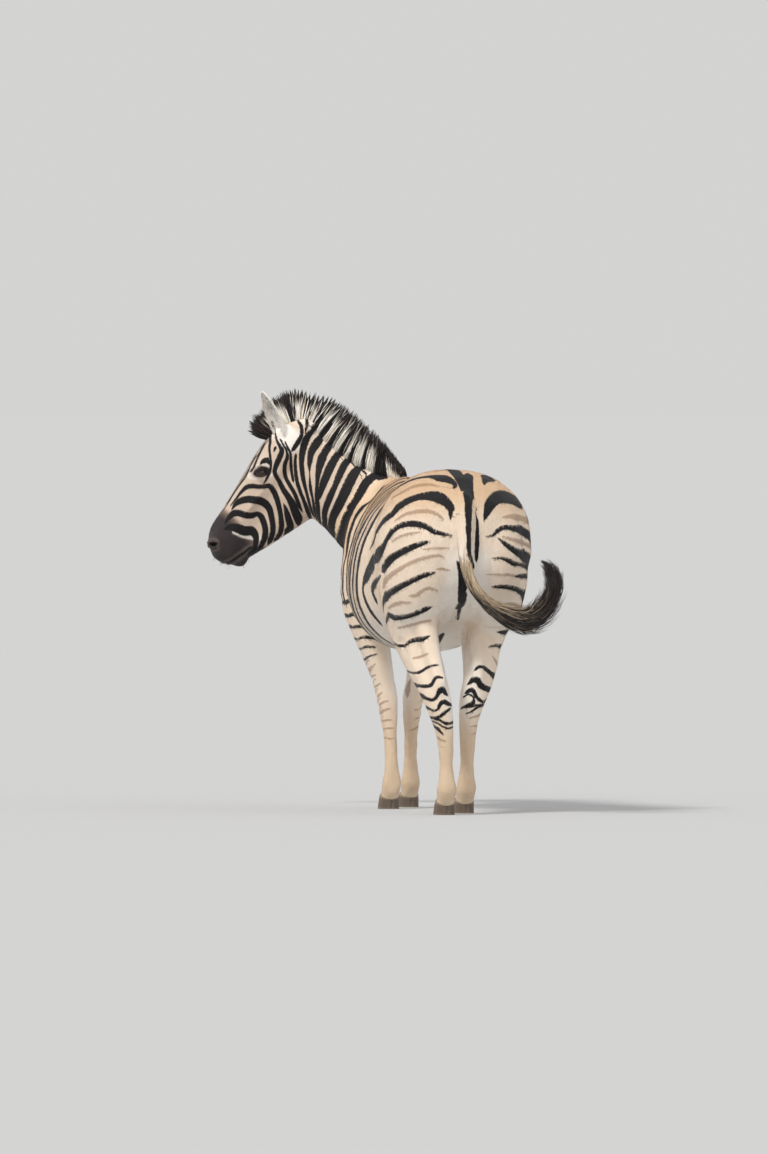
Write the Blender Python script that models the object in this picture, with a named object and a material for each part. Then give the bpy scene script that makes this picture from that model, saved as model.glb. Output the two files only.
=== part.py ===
"""A plains zebra at life size, standing still with its head turned back over its left side.

It faces -Y, its left side is +X, and its hoof soles lie flat on Z = 0. The flesh is modelled
whole from tubes and rounded lumps, fused into one smooth body, and then parted with thin cuts
into head, neck, trunk and legs. Hooves, eyes, ears, mane and tail are pieces of their own.
Lengths are in metres.
"""

from math import cos, pi, radians, sin

import bmesh
import bpy
import numpy as np
from mathutils import Vector

# ---- driving dimensions ------------------------------------------------------------------

GAP = 0.0003  # between two pieces that meet
CUTTER_MARGIN = 1.3  # a flat-sided cutter is swollen a little more than the gap
CUT_SPARE = 0.030  # flesh left past a cut while a piece is thinned
LEG_SPARE = 0.012
MERGE = 1e-5  # points closer than this are one
ON_PLANE = 1e-6  # points closer than this to a cutting plane lie on it
RING_POINTS = 36  # round a tube of flesh
RINGS_PER_ROW = 3  # from one row of sizes to the next
BODY_VOXEL = 0.0095
HEAD_VOXEL = 0.0058
BODY_SMOOTHING = 7  # rounds
HEAD_SMOOTHING = 4
EDGE_ANGLE = radians(50)  # sharper edges than this stay hard

# How many triangles each piece of flesh is thinned to.
FACES = {"head": 1800, "neck": 460, "trunk": 1380, "fore_leg": 380, "hind_leg": 450}

# Trunk, from the rump to the chest: place along Y, top, bottom, half width, height of the
# widest level, fullness of the back and of the belly (2 is an ellipse, more is squarer).
TRUNK = (
    (0.648, 1.130, 0.900, 0.080, 1.020, 2.0, 2.0),
    (0.620, 1.196, 0.850, 0.165, 1.020, 2.1, 2.0),
    (0.560, 1.244, 0.800, 0.240, 1.010, 2.2, 2.0),
    (0.480, 1.284, 0.770, 0.290, 1.000, 2.4, 2.0),
    (0.390, 1.302, 0.735, 0.297, 0.990, 2.4, 2.0),
    (0.280, 1.298, 0.690, 0.282, 0.960, 2.3, 2.0),
    (0.160, 1.274, 0.640, 0.278, 0.910, 2.2, 2.1),
    (0.040, 1.256, 0.606, 0.287, 0.880, 2.2, 2.2),
    (-0.080, 1.250, 0.598, 0.287, 0.865, 2.1, 2.2),
    (-0.200, 1.257, 0.615, 0.268, 0.870, 1.9, 2.2),
    (-0.320, 1.272, 0.643, 0.238, 0.880, 1.7, 2.1),
    (-0.440, 1.258, 0.665, 0.212, 0.900, 1.7, 2.0),
    (-0.540, 1.195, 0.690, 0.192, 0.915, 1.8, 2.0),
    (-0.630, 1.110, 0.740, 0.155, 0.920, 2.0, 2.0),
    (-0.690, 1.020, 0.820, 0.090, 0.920, 2.0, 2.0),
)

# Neck, from inside the trunk to inside the head: crest point, underside point, half width.
NECK = (
    ((0.000, -0.300, 1.250), (0.000, -0.560, 0.800), 0.160),
    ((0.000, -0.380, 1.266), (0.024, -0.670, 0.870), 0.146),
    ((0.020, -0.450, 1.276), (0.075, -0.715, 0.935), 0.128),
    ((0.060, -0.550, 1.292), (0.150, -0.740, 1.005), 0.108),
    ((0.120, -0.635, 1.326), (0.210, -0.750, 1.065), 0.098),
    ((0.190, -0.705, 1.385), (0.265, -0.770, 1.115), 0.090),
    ((0.255, -0.752, 1.452), (0.320, -0.790, 1.180), 0.080),
    ((0.318, -0.782, 1.490), (0.385, -0.805, 1.260), 0.064),
)
NECK_FULLNESS = 2.1
CREST_NARROWING = 0.42  # how much thinner the neck is along its crest
LEG_FULLNESS = 2.1

# Where the head leaves the neck, and the neck the trunk: the cut's point on the crest, its
# point on the underside, and the way it faces.
HEAD_CUT = ((0.262, -0.755, 1.500), (0.318, -0.790, 1.080), (1.530, -0.380, -0.820))
NECK_CUT = ((0.000, -0.372, 1.330), (0.020, -0.770, 0.900), (0.200, -1.000, 0.300))

# The head's own frame: poll, yaw of its nose from straight ahead towards its left, and slope.
POLL = Vector((0.3215, -0.778, 1.464))
HEAD_YAW = radians(76)
HEAD_SLOPE = radians(55)

SKULL_FULLNESS = 2.15
JAW_FULLNESS = 2.2

# Skull and nose: place along the head, its middle towards the forehead, half depth, half width.
SKULL = (
    (-0.050, -0.040, 0.030, 0.036),
    (-0.020, -0.036, 0.052, 0.056),
    (0.040, -0.022, 0.074, 0.070),
    (0.100, -0.014, 0.082, 0.083),
    (0.170, -0.012, 0.083, 0.091),
    (0.230, -0.020, 0.087, 0.087),
    (0.300, -0.024, 0.085, 0.072),
    (0.370, -0.027, 0.083, 0.058),
    (0.440, -0.028, 0.081, 0.051),
    (0.500, -0.031, 0.083, 0.052),
    (0.545, -0.036, 0.074, 0.053),
    (0.578, -0.046, 0.054, 0.044),
    (0.600, -0.052, 0.030, 0.028),
)
# Lower jaw, the same way.
JAW = (
    (0.120, -0.075, 0.045, 0.040),
    (0.180, -0.112, 0.082, 0.056),
    (0.240, -0.142, 0.104, 0.060),
    (0.300, -0.138, 0.096, 0.056),
    (0.360, -0.126, 0.084, 0.048),
    (0.420, -0.116, 0.070, 0.040),
    (0.480, -0.110, 0.050, 0.036),
    (0.520, -0.106, 0.034, 0.034),
    (0.550, -0.104, 0.024, 0.026),
)
# Rounded lumps of the head: place along, towards the forehead, to the side; then the radii.
HEAD_PAIRS = (
    ((0.212, 0.024, 0.066), (0.050, 0.032, 0.034)),  # bone over the eye
    ((0.300, -0.030, 0.052), (0.105, 0.020, 0.020)),  # ridge of the cheekbone
    ((0.225, -0.110, 0.034), (0.108, 0.105, 0.038)),  # chewing muscle
    ((0.548, 0.000, 0.036), (0.036, 0.034, 0.026)),  # nostril
    ((0.560, -0.052, 0.026), (0.036, 0.044, 0.030)),  # upper lip
)
HEAD_LUMPS = (
    ((0.548, -0.110, 0.0), (0.034, 0.034, 0.034)),  # chin
    ((0.130, 0.010, 0.0), (0.110, 0.058, 0.055)),  # forehead
)

EYE_PLACE = (0.229, 0.012, 0.083)
EYE_RADIUS = 0.0215

# Muscle lumps of the body, one on each side: centre and radii.
BODY_PAIRS = (
    ((0.118, -0.495, 0.930), (0.090, 0.150, 0.250)),  # shoulder
    ((0.064, -0.640, 0.900), (0.076, 0.070, 0.120)),  # breast
    ((0.122, 0.480, 0.985), (0.138, 0.168, 0.250)),  # buttock
)

# Legs from the body down: side, place along Y, height, half width, half depth.
FORE_LEG = {
    "left": (
        (0.135, -0.470, 0.940, 0.080, 0.150),
        (0.148, -0.430, 0.820, 0.082, 0.128),
        (0.140, -0.398, 0.730, 0.075, 0.104),
        (0.119, -0.378, 0.640, 0.063, 0.080),
        (0.097, -0.362, 0.550, 0.051, 0.061),
        (0.080, -0.352, 0.470, 0.043, 0.048),
        (0.069, -0.345, 0.400, 0.042, 0.046),
        (0.066, -0.338, 0.350, 0.037, 0.040),
        (0.065, -0.323, 0.280, 0.029, 0.034),
        (0.065, -0.309, 0.190, 0.028, 0.034),
        (0.065, -0.301, 0.135, 0.031, 0.037),
        (0.065, -0.299, 0.100, 0.038, 0.042),
        (0.066, -0.316, 0.068, 0.034, 0.037),
        (0.066, -0.334, 0.040, 0.036, 0.042),
        (0.066, -0.340, 0.022, 0.036, 0.042),
    ),
    "right": (
        (-0.135, -0.485, 0.940, 0.080, 0.150),
        (-0.150, -0.460, 0.820, 0.082, 0.128),
        (-0.140, -0.448, 0.730, 0.075, 0.104),
        (-0.115, -0.450, 0.640, 0.063, 0.080),
        (-0.088, -0.458, 0.550, 0.051, 0.061),
        (-0.070, -0.467, 0.470, 0.043, 0.048),
        (-0.060, -0.476, 0.400, 0.042, 0.046),
        (-0.058, -0.480, 0.350, 0.037, 0.040),
        (-0.057, -0.488, 0.280, 0.029, 0.034),
        (-0.058, -0.498, 0.190, 0.028, 0.034),
        (-0.059, -0.504, 0.135, 0.031, 0.037),
        (-0.060, -0.508, 0.100, 0.038, 0.042),
        (-0.061, -0.525, 0.068, 0.034, 0.037),
        (-0.062, -0.543, 0.040, 0.036, 0.042),
        (-0.062, -0.549, 0.022, 0.036, 0.042),
    ),
}
HIND_LEG = {
    "left": (
        (0.130, 0.430, 1.080, 0.115, 0.190),
        (0.150, 0.415, 0.950, 0.132, 0.215),
        (0.154, 0.385, 0.830, 0.120, 0.205),
        (0.146, 0.370, 0.730, 0.099, 0.160),
        (0.132, 0.398, 0.640, 0.080, 0.112),
        (0.122, 0.458, 0.565, 0.068, 0.084),
        (0.114, 0.528, 0.500, 0.060, 0.067),
        (0.104, 0.578, 0.440, 0.054, 0.060),
        (0.089, 0.596, 0.370, 0.045, 0.049),
        (0.079, 0.602, 0.300, 0.036, 0.040),
        (0.075, 0.603, 0.200, 0.029, 0.035),
        (0.073, 0.603, 0.140, 0.031, 0.037),
        (0.072, 0.600, 0.100, 0.039, 0.043),
        (0.071, 0.582, 0.068, 0.035, 0.038),
        (0.070, 0.564, 0.040, 0.036, 0.042),
        (0.070, 0.558, 0.022, 0.036, 0.042),
    ),
    "right": (
        (-0.130, 0.430, 1.080, 0.115, 0.190),
        (-0.152, 0.405, 0.950, 0.132, 0.215),
        (-0.158, 0.352, 0.840, 0.120, 0.205),
        (-0.154, 0.304, 0.745, 0.100, 0.160),
        (-0.141, 0.302, 0.660, 0.082, 0.114),
        (-0.123, 0.345, 0.590, 0.070, 0.086),
        (-0.104, 0.398, 0.525, 0.062, 0.068),
        (-0.080, 0.432, 0.465, 0.056, 0.060),
        (-0.060, 0.442, 0.400, 0.047, 0.050),
        (-0.052, 0.437, 0.320, 0.037, 0.041),
        (-0.051, 0.426, 0.210, 0.029, 0.035),
        (-0.051, 0.416, 0.145, 0.031, 0.037),
        (-0.052, 0.407, 0.102, 0.039, 0.043),
        (-0.053, 0.387, 0.068, 0.035, 0.038),
        (-0.053, 0.368, 0.040, 0.036, 0.042),
        (-0.053, 0.362, 0.022, 0.036, 0.042),
    ),
}
# Heel cord, from the thigh to the point of the hock: offsets from the hock joint
# across, along and up, then the radius.
HEEL_CORD = (
    (0.026, -0.085, 0.290, 0.046),
    (0.016, -0.038, 0.190, 0.036),
    (0.006, 0.012, 0.110, 0.029),
    (0.000, 0.044, 0.062, 0.026),
    (0.000, 0.040, 0.020, 0.024),
    (0.000, 0.018, -0.045, 0.020),
    (0.000, 0.004, -0.090, 0.016),
)
HOCK_JOINT = {"left": (0.104, 0.578, 0.440), "right": (-0.080, 0.432, 0.465)}
LEGS_FREE = 0.57  # a level just under the belly
LEG_BOX_FLOOR = -0.1

# Where a leg leaves the trunk: box sides and the height of its top at the inner and outer side.
LEG_BOX = {
    ("fore_leg", "left"): dict(inner=0.008, outer=0.40, front=-0.62, back=-0.275, tops=(0.632, 0.700)),
    ("fore_leg", "right"): dict(inner=0.008, outer=0.40, front=-0.66, back=-0.325, tops=(0.632, 0.700)),
    ("hind_leg", "left"): dict(inner=0.004, outer=0.45, front=0.212, back=0.80, tops=(0.650, 0.715)),
    ("hind_leg", "right"): dict(inner=0.004, outer=0.45, front=0.158, back=0.80, tops=(0.636, 0.705)),
}

# Hooves: the sole's half width and length, the coronet's, and the coronet's height and tilt.
HOOF_SOLE = (0.041, 0.055)
HOOF_TOP = (0.0372, 0.0435)
HOOF_HEIGHT = 0.052
HOOF_TILT = radians(14)
HOOF_SET_BACK = 0.016  # the coronet lies this far behind the sole's middle
HOOF_POINTS = 20
HOOF_LEVELS = (0.0, 0.04, 0.5, 0.93, 1.0)  # shares of the height
HOOF_EDGE = 0.0015  # how far the rims are rounded in
HEEL_BLUNTNESS = 0.86
SOLES = {
    ("fore", "left"): (0.066, -0.350),
    ("fore", "right"): (-0.062, -0.559),
    ("hind", "left"): (0.070, 0.548),
    ("hind", "right"): (-0.053, 0.352),
}

# Ear: base and tip in the head's frame; then for each level its place along the ear, the
# width and depth of the cup, and how far the wall wraps round to the front.
EAR_BASE = (0.064, 0.028, 0.052)
EAR_TIP = (-0.030, 0.188, 0.096)
EAR_LEVELS = (
    (0.00, 0.046, 0.046, 1.00),
    (0.14, 0.060, 0.050, 0.86),
    (0.32, 0.074, 0.046, 0.66),
    (0.52, 0.076, 0.036, 0.56),
    (0.72, 0.060, 0.024, 0.50),
    (0.88, 0.036, 0.013, 0.46),
    (0.97, 0.015, 0.006, 0.44),
)
EAR_WALL = 0.0045
EAR_THIN = 0.28  # near the tip the wall is this share of the width
EAR_AXIS = 0.35  # how far forward of its back the ear's middle line runs, as a share of depth
EAR_POINTS = 7
EAR_TURN = radians(38)  # the cup's opening, from straight ahead towards the outer side

# Mane: for stations along the crest, the length of hair above the skin and half its thickness.
MANE_HEIGHTS = (0.020, 0.032, 0.078, 0.120, 0.146, 0.152, 0.138, 0.118)
MANE_HALF = 0.020
MANE_TIP_HALF = 0.009
MANE_BODY = 0.65  # share of the height over which the mane keeps its thickness
MANE_START = (0.35, 6)  # it starts at this share of its thickness, and fills over so many rings
MANE_ROOT = 0.030  # its foot reaches this far under the crest before it is cut to the skin
# Over the poll and forehead, in the head's frame: place along, skin height, hair tip.
POLL_MANE = (
    ((-0.012, 0.010), (-0.108, 0.088)),
    ((0.012, 0.026), (-0.052, 0.130)),
    ((0.036, 0.042), (0.004, 0.150)),
    ((0.062, 0.052), (0.052, 0.150)),
)
FORELOCK = (
    ((0.074, 0.055), (0.066, 0.154)),
    ((0.092, 0.060), (0.104, 0.146)),
    ((0.108, 0.063), (0.130, 0.128)),
)
FORELOCK_HALF = (0.026, 0.012)

# Tail: side, place along Y, height and radius, from the dock to the tip.
TAIL = (
    (0.000, 0.550, 1.206, 0.034),
    (0.006, 0.606, 1.180, 0.038),
    (0.014, 0.648, 1.120, 0.037),
    (0.022, 0.676, 1.030, 0.032),
    (0.019, 0.696, 0.935, 0.025),
    (-0.006, 0.710, 0.857, 0.022),
    (-0.062, 0.724, 0.793, 0.028),
    (-0.130, 0.738, 0.752, 0.038),
    (-0.200, 0.747, 0.735, 0.045),
    (-0.258, 0.750, 0.765, 0.043),
    (-0.297, 0.748, 0.822, 0.036),
    (-0.309, 0.744, 0.880, 0.028),
    (-0.292, 0.741, 0.930, 0.019),
    (-0.256, 0.738, 0.962, 0.006),
)
TAIL_PARTS = (("tail_dock", 0.0, 0.30), ("tail_middle", 0.30, 0.58), ("tail_tuft", 0.58, 1.0))
TAIL_POINTS = 10

# ---- colours -------------------------------------------------------------------------------

CREAM = (0.75, 0.58, 0.38)
DUSTY = (0.62, 0.44, 0.25)
DARK = (0.022, 0.019, 0.022)
HORN = (0.16, 0.12, 0.09)
PALE = (0.70, 0.64, 0.56)
EYE_BROWN = (0.020, 0.010, 0.006)


# ---- scene and materials -------------------------------------------------------------------


def clear_scene():
    for old in list(bpy.data.objects):
        bpy.data.objects.remove(old, do_unlink=True)


def make_material(name, colour, roughness):
    material = bpy.data.materials.new(name)
    material.use_nodes = True
    shader = material.node_tree.nodes["Principled BSDF"]
    shader.inputs["Base Color"].default_value = (*colour, 1.0)
    shader.inputs["Roughness"].default_value = roughness
    shader.inputs["Metallic"].default_value = 0.0
    return material


def add_object(name, mesh, material=None, parent=None):
    mesh.name = name
    piece = bpy.data.objects.new(name, mesh)
    bpy.context.scene.collection.objects.link(piece)
    if material is not None:
        mesh.materials.clear()
        mesh.materials.append(material)
        mesh.shade_smooth()
        mesh.set_sharp_from_angle(angle=EDGE_ANGLE)
    piece.parent = parent
    return piece


def to_mesh(bm, name="shape"):
    mesh = bpy.data.meshes.new(name)
    bm.to_mesh(mesh)
    bm.free()
    return mesh


# ---- shaping -------------------------------------------------------------------------------


def smooth_rows(rows, steps):
    """Rows of sizes with extra rows between them, on a Catmull-Rom curve."""
    values = np.array(rows, float)
    padded = np.vstack((2 * values[0] - values[1], values, 2 * values[-1] - values[-2]))
    out = []
    for index in range(len(values) - 1):
        before, start, end, after = padded[index : index + 4]
        for step in range(steps):
            t = step / steps
            out.append(
                0.5
                * (
                    2 * start
                    + (end - before) * t
                    + (2 * before - 5 * start + 4 * end - after) * t**2
                    + (3 * start - before - 3 * end + after) * t**3
                )
            )
    out.append(values[-1])
    return out


def signed_power(value, power):
    return abs(value) ** power * (1 if value >= 0 else -1)


def loft(rings):
    """A closed tube through rings of points, with its ends closed by a fan."""
    bm = bmesh.new()
    loops = [[bm.verts.new(point) for point in ring] for ring in rings]
    count = len(loops[0])
    for first, second in zip(loops, loops[1:]):
        for k in range(count):
            after = (k + 1) % count
            bm.faces.new((first[k], first[after], second[after], second[k]))
    for loop in (loops[0], loops[-1]):
        centre = sum((v.co for v in loop), Vector()) / count
        hub = bm.verts.new(centre)
        for k in range(count):
            bm.faces.new((loop[k], loop[(k + 1) % count], hub))
    bmesh.ops.recalc_face_normals(bm, faces=bm.faces[:])
    return to_mesh(bm)


def oval(centre, side, up, half_width, half_up, half_down, fullness=2.0, narrowing=0.0):
    """A ring of points; narrowing pinches its upper half."""
    ring = []
    for k in range(RING_POINTS):
        angle = 2 * pi * k / RING_POINTS
        across = signed_power(cos(angle), 2 / fullness) * half_width
        rise = signed_power(sin(angle), 2 / fullness)
        across *= 1 - narrowing * max(rise, 0.0) ** 1.5
        height = rise * (half_up if rise > 0 else half_down)
        ring.append(centre + side * across + up * height)
    return ring


def tangent_at(points, index):
    """The direction of a path at one of its points."""
    return (points[min(index + 1, len(points) - 1)] - points[max(index - 1, 0)]).normalized()


def lump(centre, axes, radii):
    bm = bmesh.new()
    bmesh.ops.create_icosphere(bm, subdivisions=3, radius=1.0)
    for vertex in bm.verts:
        x, y, z = vertex.co
        vertex.co = centre + axes[0] * x * radii[0] + axes[1] * y * radii[1] + axes[2] * z * radii[2]
    bmesh.ops.recalc_face_normals(bm, faces=bm.faces[:])
    return to_mesh(bm)


def with_modifier(mesh, kind, **settings):
    """The mesh after one modifier, as a new mesh."""
    holder = add_object("holder", mesh)
    modifier = holder.modifiers.new("shape", kind)
    for key, value in settings.items():
        setattr(modifier, key, value)
    bpy.context.view_layer.update()
    shaped = holder.evaluated_get(bpy.context.evaluated_depsgraph_get())
    result = bpy.data.meshes.new_from_object(shaped)
    bpy.data.objects.remove(holder, do_unlink=True)
    return result


def combine(mesh, other, operation):
    cutter = add_object("cutter", other)
    cutter.hide_render = True
    cutter.display_type = "WIRE"
    result = with_modifier(mesh, "BOOLEAN", object=cutter, operation=operation, solver="EXACT")
    bpy.data.objects.remove(cutter, do_unlink=True)
    return tidy(result)


def tidy(mesh):
    """Triangles only, without slivers left by a cut."""
    bm = bmesh.new()
    bm.from_mesh(mesh)
    bmesh.ops.remove_doubles(bm, verts=bm.verts[:], dist=MERGE)
    bmesh.ops.dissolve_degenerate(bm, edges=bm.edges[:], dist=MERGE)
    bmesh.ops.triangulate(bm, faces=bm.faces[:])
    loose = [v for v in bm.verts if not v.link_faces]
    bmesh.ops.delete(bm, geom=loose, context="VERTS")
    return to_mesh(bm)


def fuse(meshes, voxel, smoothing):
    """One smooth skin round overlapping pieces."""
    bm = bmesh.new()
    for mesh in meshes:
        bm.from_mesh(mesh)
    joined = to_mesh(bm)
    solid = with_modifier(joined, "REMESH", mode="VOXEL", voxel_size=voxel, adaptivity=0.0)
    bm = bmesh.new()
    bm.from_mesh(solid)
    for _ in range(smoothing):
        for factor in (0.5, -0.46):  # shrink, then swell back a little less
            bmesh.ops.smooth_vert(
                bm, verts=bm.verts[:], factor=factor, use_axis_x=True, use_axis_y=True, use_axis_z=True
            )
    return to_mesh(bm)


def thin_to(mesh, faces):
    now = sum(len(polygon.vertices) - 2 for polygon in mesh.polygons)
    return with_modifier(mesh, "DECIMATE", decimate_type="COLLAPSE", ratio=min(1.0, faces / now))


def keep_behind(mesh, point, normal):
    """Cuts by a plane, keeps the side the normal points away from, and closes the cut."""
    bm = bmesh.new()
    bm.from_mesh(mesh)
    geometry = bm.verts[:] + bm.edges[:] + bm.faces[:]
    bmesh.ops.bisect_plane(
        bm, geom=geometry, dist=ON_PLANE, plane_co=point, plane_no=normal, clear_outer=True
    )
    rim = [edge for edge in bm.edges if edge.is_boundary]
    bmesh.ops.holes_fill(bm, edges=rim, sides=0)
    bmesh.ops.recalc_face_normals(bm, faces=bm.faces[:])
    return tidy(to_mesh(bm))


def swollen(mesh, amount):
    """A copy with every point moved outwards along its normal."""
    bm = bmesh.new()
    bm.from_mesh(mesh)
    bm.normal_update()
    for vertex in bm.verts:
        vertex.co += vertex.normal * amount
    return to_mesh(bm)


# ---- the head's frame ----------------------------------------------------------------------

AHEAD = Vector((sin(HEAD_YAW), -cos(HEAD_YAW), 0))
HEAD_ALONG = AHEAD * cos(HEAD_SLOPE) - Vector((0, 0, sin(HEAD_SLOPE)))
HEAD_UP = AHEAD * sin(HEAD_SLOPE) + Vector((0, 0, cos(HEAD_SLOPE)))
HEAD_SIDE = Vector((cos(HEAD_YAW), sin(HEAD_YAW), 0))


def in_head(along, up, side=0.0):
    return POLL + HEAD_ALONG * along + HEAD_UP * up + HEAD_SIDE * side


# ---- flesh ---------------------------------------------------------------------------------


def trunk_tube():
    rings = []
    for y, top, bottom, half_width, level, back, belly in smooth_rows(TRUNK, RINGS_PER_ROW):
        ring = []
        for k in range(RING_POINTS):
            angle = 2 * pi * k / RING_POINTS
            full = back if sin(angle) > 0 else belly
            across = signed_power(cos(angle), 2 / full) * half_width
            rise = signed_power(sin(angle), 2 / full)
            height = level + rise * (top - level if rise > 0 else level - bottom)
            ring.append(Vector((across, y, height)))
        rings.append(ring)
    return loft(rings)


def neck_tube():
    rows = [(*crest, *under, width) for crest, under, width in NECK]
    rows = smooth_rows(rows, RINGS_PER_ROW)
    middles = [(Vector(row[0:3]) + Vector(row[3:6])) / 2 for row in rows]
    rings = []
    for index, row in enumerate(rows):
        rise = Vector(row[0:3]) - Vector(row[3:6])
        side = tangent_at(middles, index).cross(rise).normalized()
        half = rise.length / 2
        up = rise.normalized()
        rings.append(oval(middles[index], side, up, row[6], half, half, NECK_FULLNESS, CREST_NARROWING))
    return loft(rings)


def head_tube(rows, fullness):
    rings = []
    for along, up, half_depth, half_width in smooth_rows(rows, RINGS_PER_ROW):
        centre = in_head(along, up)
        rings.append(oval(centre, HEAD_SIDE, HEAD_UP, half_width, half_depth, half_depth, fullness))
    return loft(rings)


def head_pieces():
    axes = (HEAD_ALONG, HEAD_UP, HEAD_SIDE)
    pieces = [head_tube(SKULL, SKULL_FULLNESS), head_tube(JAW, JAW_FULLNESS)]
    for (along, up, side), radii in HEAD_PAIRS:
        for sign in (1, -1):
            pieces.append(lump(in_head(along, up, side * sign), axes, radii))
    for place, radii in HEAD_LUMPS:
        pieces.append(lump(in_head(*place), axes, radii))
    return pieces


def leg_tube(rows):
    rows = smooth_rows(rows, RINGS_PER_ROW)
    points = [Vector(row[0:3]) for row in rows]
    rings = []
    for index, row in enumerate(rows):
        tangent = tangent_at(points, index)
        side = Vector((1, 0, 0))
        side = (side - tangent * side.dot(tangent)).normalized()
        depth = tangent.cross(side)
        rings.append(oval(points[index], side, depth, row[3], row[4], row[4], LEG_FULLNESS))
    return loft(rings)


def heel_cord(side):
    sign = 1 if side == "left" else -1
    joint = Vector(HOCK_JOINT[side])
    rows = smooth_rows(HEEL_CORD, RINGS_PER_ROW)
    points = [joint + Vector((row[0] * sign, row[1], row[2])) for row in rows]
    rings = []
    for index, row in enumerate(rows):
        tangent = tangent_at(points, index)
        side = Vector((1, 0, 0)).cross(tangent).normalized()
        rings.append(oval(points[index], tangent.cross(side), side, row[3], row[3], row[3]))
    return loft(rings)


def body_pieces():
    axes = (Vector((1, 0, 0)), Vector((0, 1, 0)), Vector((0, 0, 1)))
    pieces = [trunk_tube(), neck_tube()]
    for (x, y, z), radii in BODY_PAIRS:
        for sign in (1, -1):
            pieces.append(lump(Vector((x * sign, y, z)), axes, radii))
    for side in ("left", "right"):
        pieces.append(leg_tube(FORE_LEG[side]))
        pieces.append(leg_tube(HIND_LEG[side]))
        pieces.append(heel_cord(side))
    return pieces


def leg_box(leg, side, grow):
    """A block round one leg below the body, with a sloping top."""
    sizes = LEG_BOX[(leg, side)]
    sign = 1 if side == "left" else -1
    bm = bmesh.new()
    corners = []
    for level in (0, 1):
        for y in (sizes["front"] - grow, sizes["back"] + grow):
            for x, top in zip((sizes["inner"] - grow, sizes["outer"] + grow), sizes["tops"]):
                z = top + grow if level else LEG_BOX_FLOOR - grow
                corners.append(bm.verts.new((x * sign, y, z)))
    bmesh.ops.convex_hull(bm, input=corners)
    bmesh.ops.recalc_face_normals(bm, faces=bm.faces[:])
    return to_mesh(bm)


def cut_plane(crest, under, facing):
    """A point on the plane through a crest point and an underside point, and its normal."""
    rise = Vector(crest) - Vector(under)
    side = rise.cross(Vector(facing)).normalized()
    return (Vector(crest) + Vector(under)) / 2, side.cross(rise).normalized()


def coronet_plane(sole):
    """The sloping plane between a pastern and its hoof."""
    x, y = sole
    return Vector((x, y + HOOF_SET_BACK, HOOF_HEIGHT)), Vector((0, sin(HOOF_TILT), cos(HOOF_TILT)))


def parted_flesh():
    """Head, neck, trunk and legs, each closed and clear of the next by the gap."""
    head_parts = head_pieces()
    whole = fuse(body_pieces() + head_parts, BODY_VOXEL, BODY_SMOOTHING)
    fine = fuse(head_parts + [neck_tube()], HEAD_VOXEL, HEAD_SMOOTHING)
    head_point, head_normal = cut_plane(*HEAD_CUT)
    neck_point, neck_normal = cut_plane(*NECK_CUT)
    half = GAP / 2
    nodes = {}

    head = keep_behind(fine, head_point - head_normal * CUT_SPARE, -head_normal)
    head = thin_to(head, FACES["head"])
    nodes["head"] = keep_behind(head, head_point + head_normal * half, -head_normal)

    neck = keep_behind(whole, head_point + head_normal * CUT_SPARE, head_normal)
    neck = keep_behind(neck, neck_point - neck_normal * CUT_SPARE, -neck_normal)
    neck = thin_to(neck, FACES["neck"])
    neck = keep_behind(neck, head_point - head_normal * half, head_normal)
    nodes["neck"] = keep_behind(neck, neck_point + neck_normal * half, -neck_normal)

    rest = keep_behind(whole, neck_point + neck_normal * CUT_SPARE, neck_normal)
    trunk = keep_behind(rest, Vector((0, 0, LEGS_FREE)), Vector((0, 0, -1)))
    trunk = thin_to(trunk, FACES["trunk"])
    trunk = keep_behind(trunk, neck_point - neck_normal * half, neck_normal)
    for leg, side in LEG_BOX:
        trunk = combine(trunk, leg_box(leg, side, half), "DIFFERENCE")
    nodes["trunk"] = largest_body(trunk)

    for leg, side in LEG_BOX:
        limb = combine(rest, leg_box(leg, side, LEG_SPARE), "INTERSECT")
        limb = thin_to(limb, FACES[leg])
        limb = combine(limb, leg_box(leg, side, -half), "INTERSECT")
        point, normal = coronet_plane(SOLES[(leg.split("_")[0], side)])
        nodes[f"{leg}_{side}"] = largest_body(keep_behind(limb, point + normal * half, -normal))
    return nodes


# ---- pieces of their own -------------------------------------------------------------------


def eye_ball(side, radius):
    along, up, out = EYE_PLACE
    centre = in_head(along, up, out * side)
    return lump(centre, (HEAD_ALONG, HEAD_UP, HEAD_SIDE), (radius, radius, radius))


def hoof(sole):
    """A hoof with a flat sole, a sloping wall and a rounded coronet edge."""
    x, y = sole
    half = GAP / 2
    point, normal = coronet_plane(sole)
    bm = bmesh.new()
    loops = []
    for share in HOOF_LEVELS:
        inset = HOOF_EDGE if share in (0.0, 1.0) else 0.0
        ring = []
        for k in range(HOOF_POINTS):
            angle = 2 * pi * k / HOOF_POINTS
            width = HOOF_SOLE[0] * (1 - share) + HOOF_TOP[0] * share - inset
            length = HOOF_SOLE[1] * (1 - share) + HOOF_TOP[1] * share - inset
            across = width * cos(angle)
            along = length * sin(angle)
            if along > 0:  # the heel is blunter than the toe
                along *= HEEL_BLUNTNESS
            px = x + across
            py = y + along + HOOF_SET_BACK * share
            top = point.z - half / normal.z - (py - point.y) * normal.y / normal.z
            ring.append(bm.verts.new((px, py, top * share)))
        loops.append(ring)
    for first, second in zip(loops, loops[1:]):
        for k in range(HOOF_POINTS):
            after = (k + 1) % HOOF_POINTS
            bm.faces.new((first[k], first[after], second[after], second[k]))
    bm.faces.new(loops[0])
    bm.faces.new(loops[-1])
    bmesh.ops.recalc_face_normals(bm, faces=bm.faces[:])
    bmesh.ops.triangulate(bm, faces=bm.faces[:])
    return to_mesh(bm)


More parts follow.
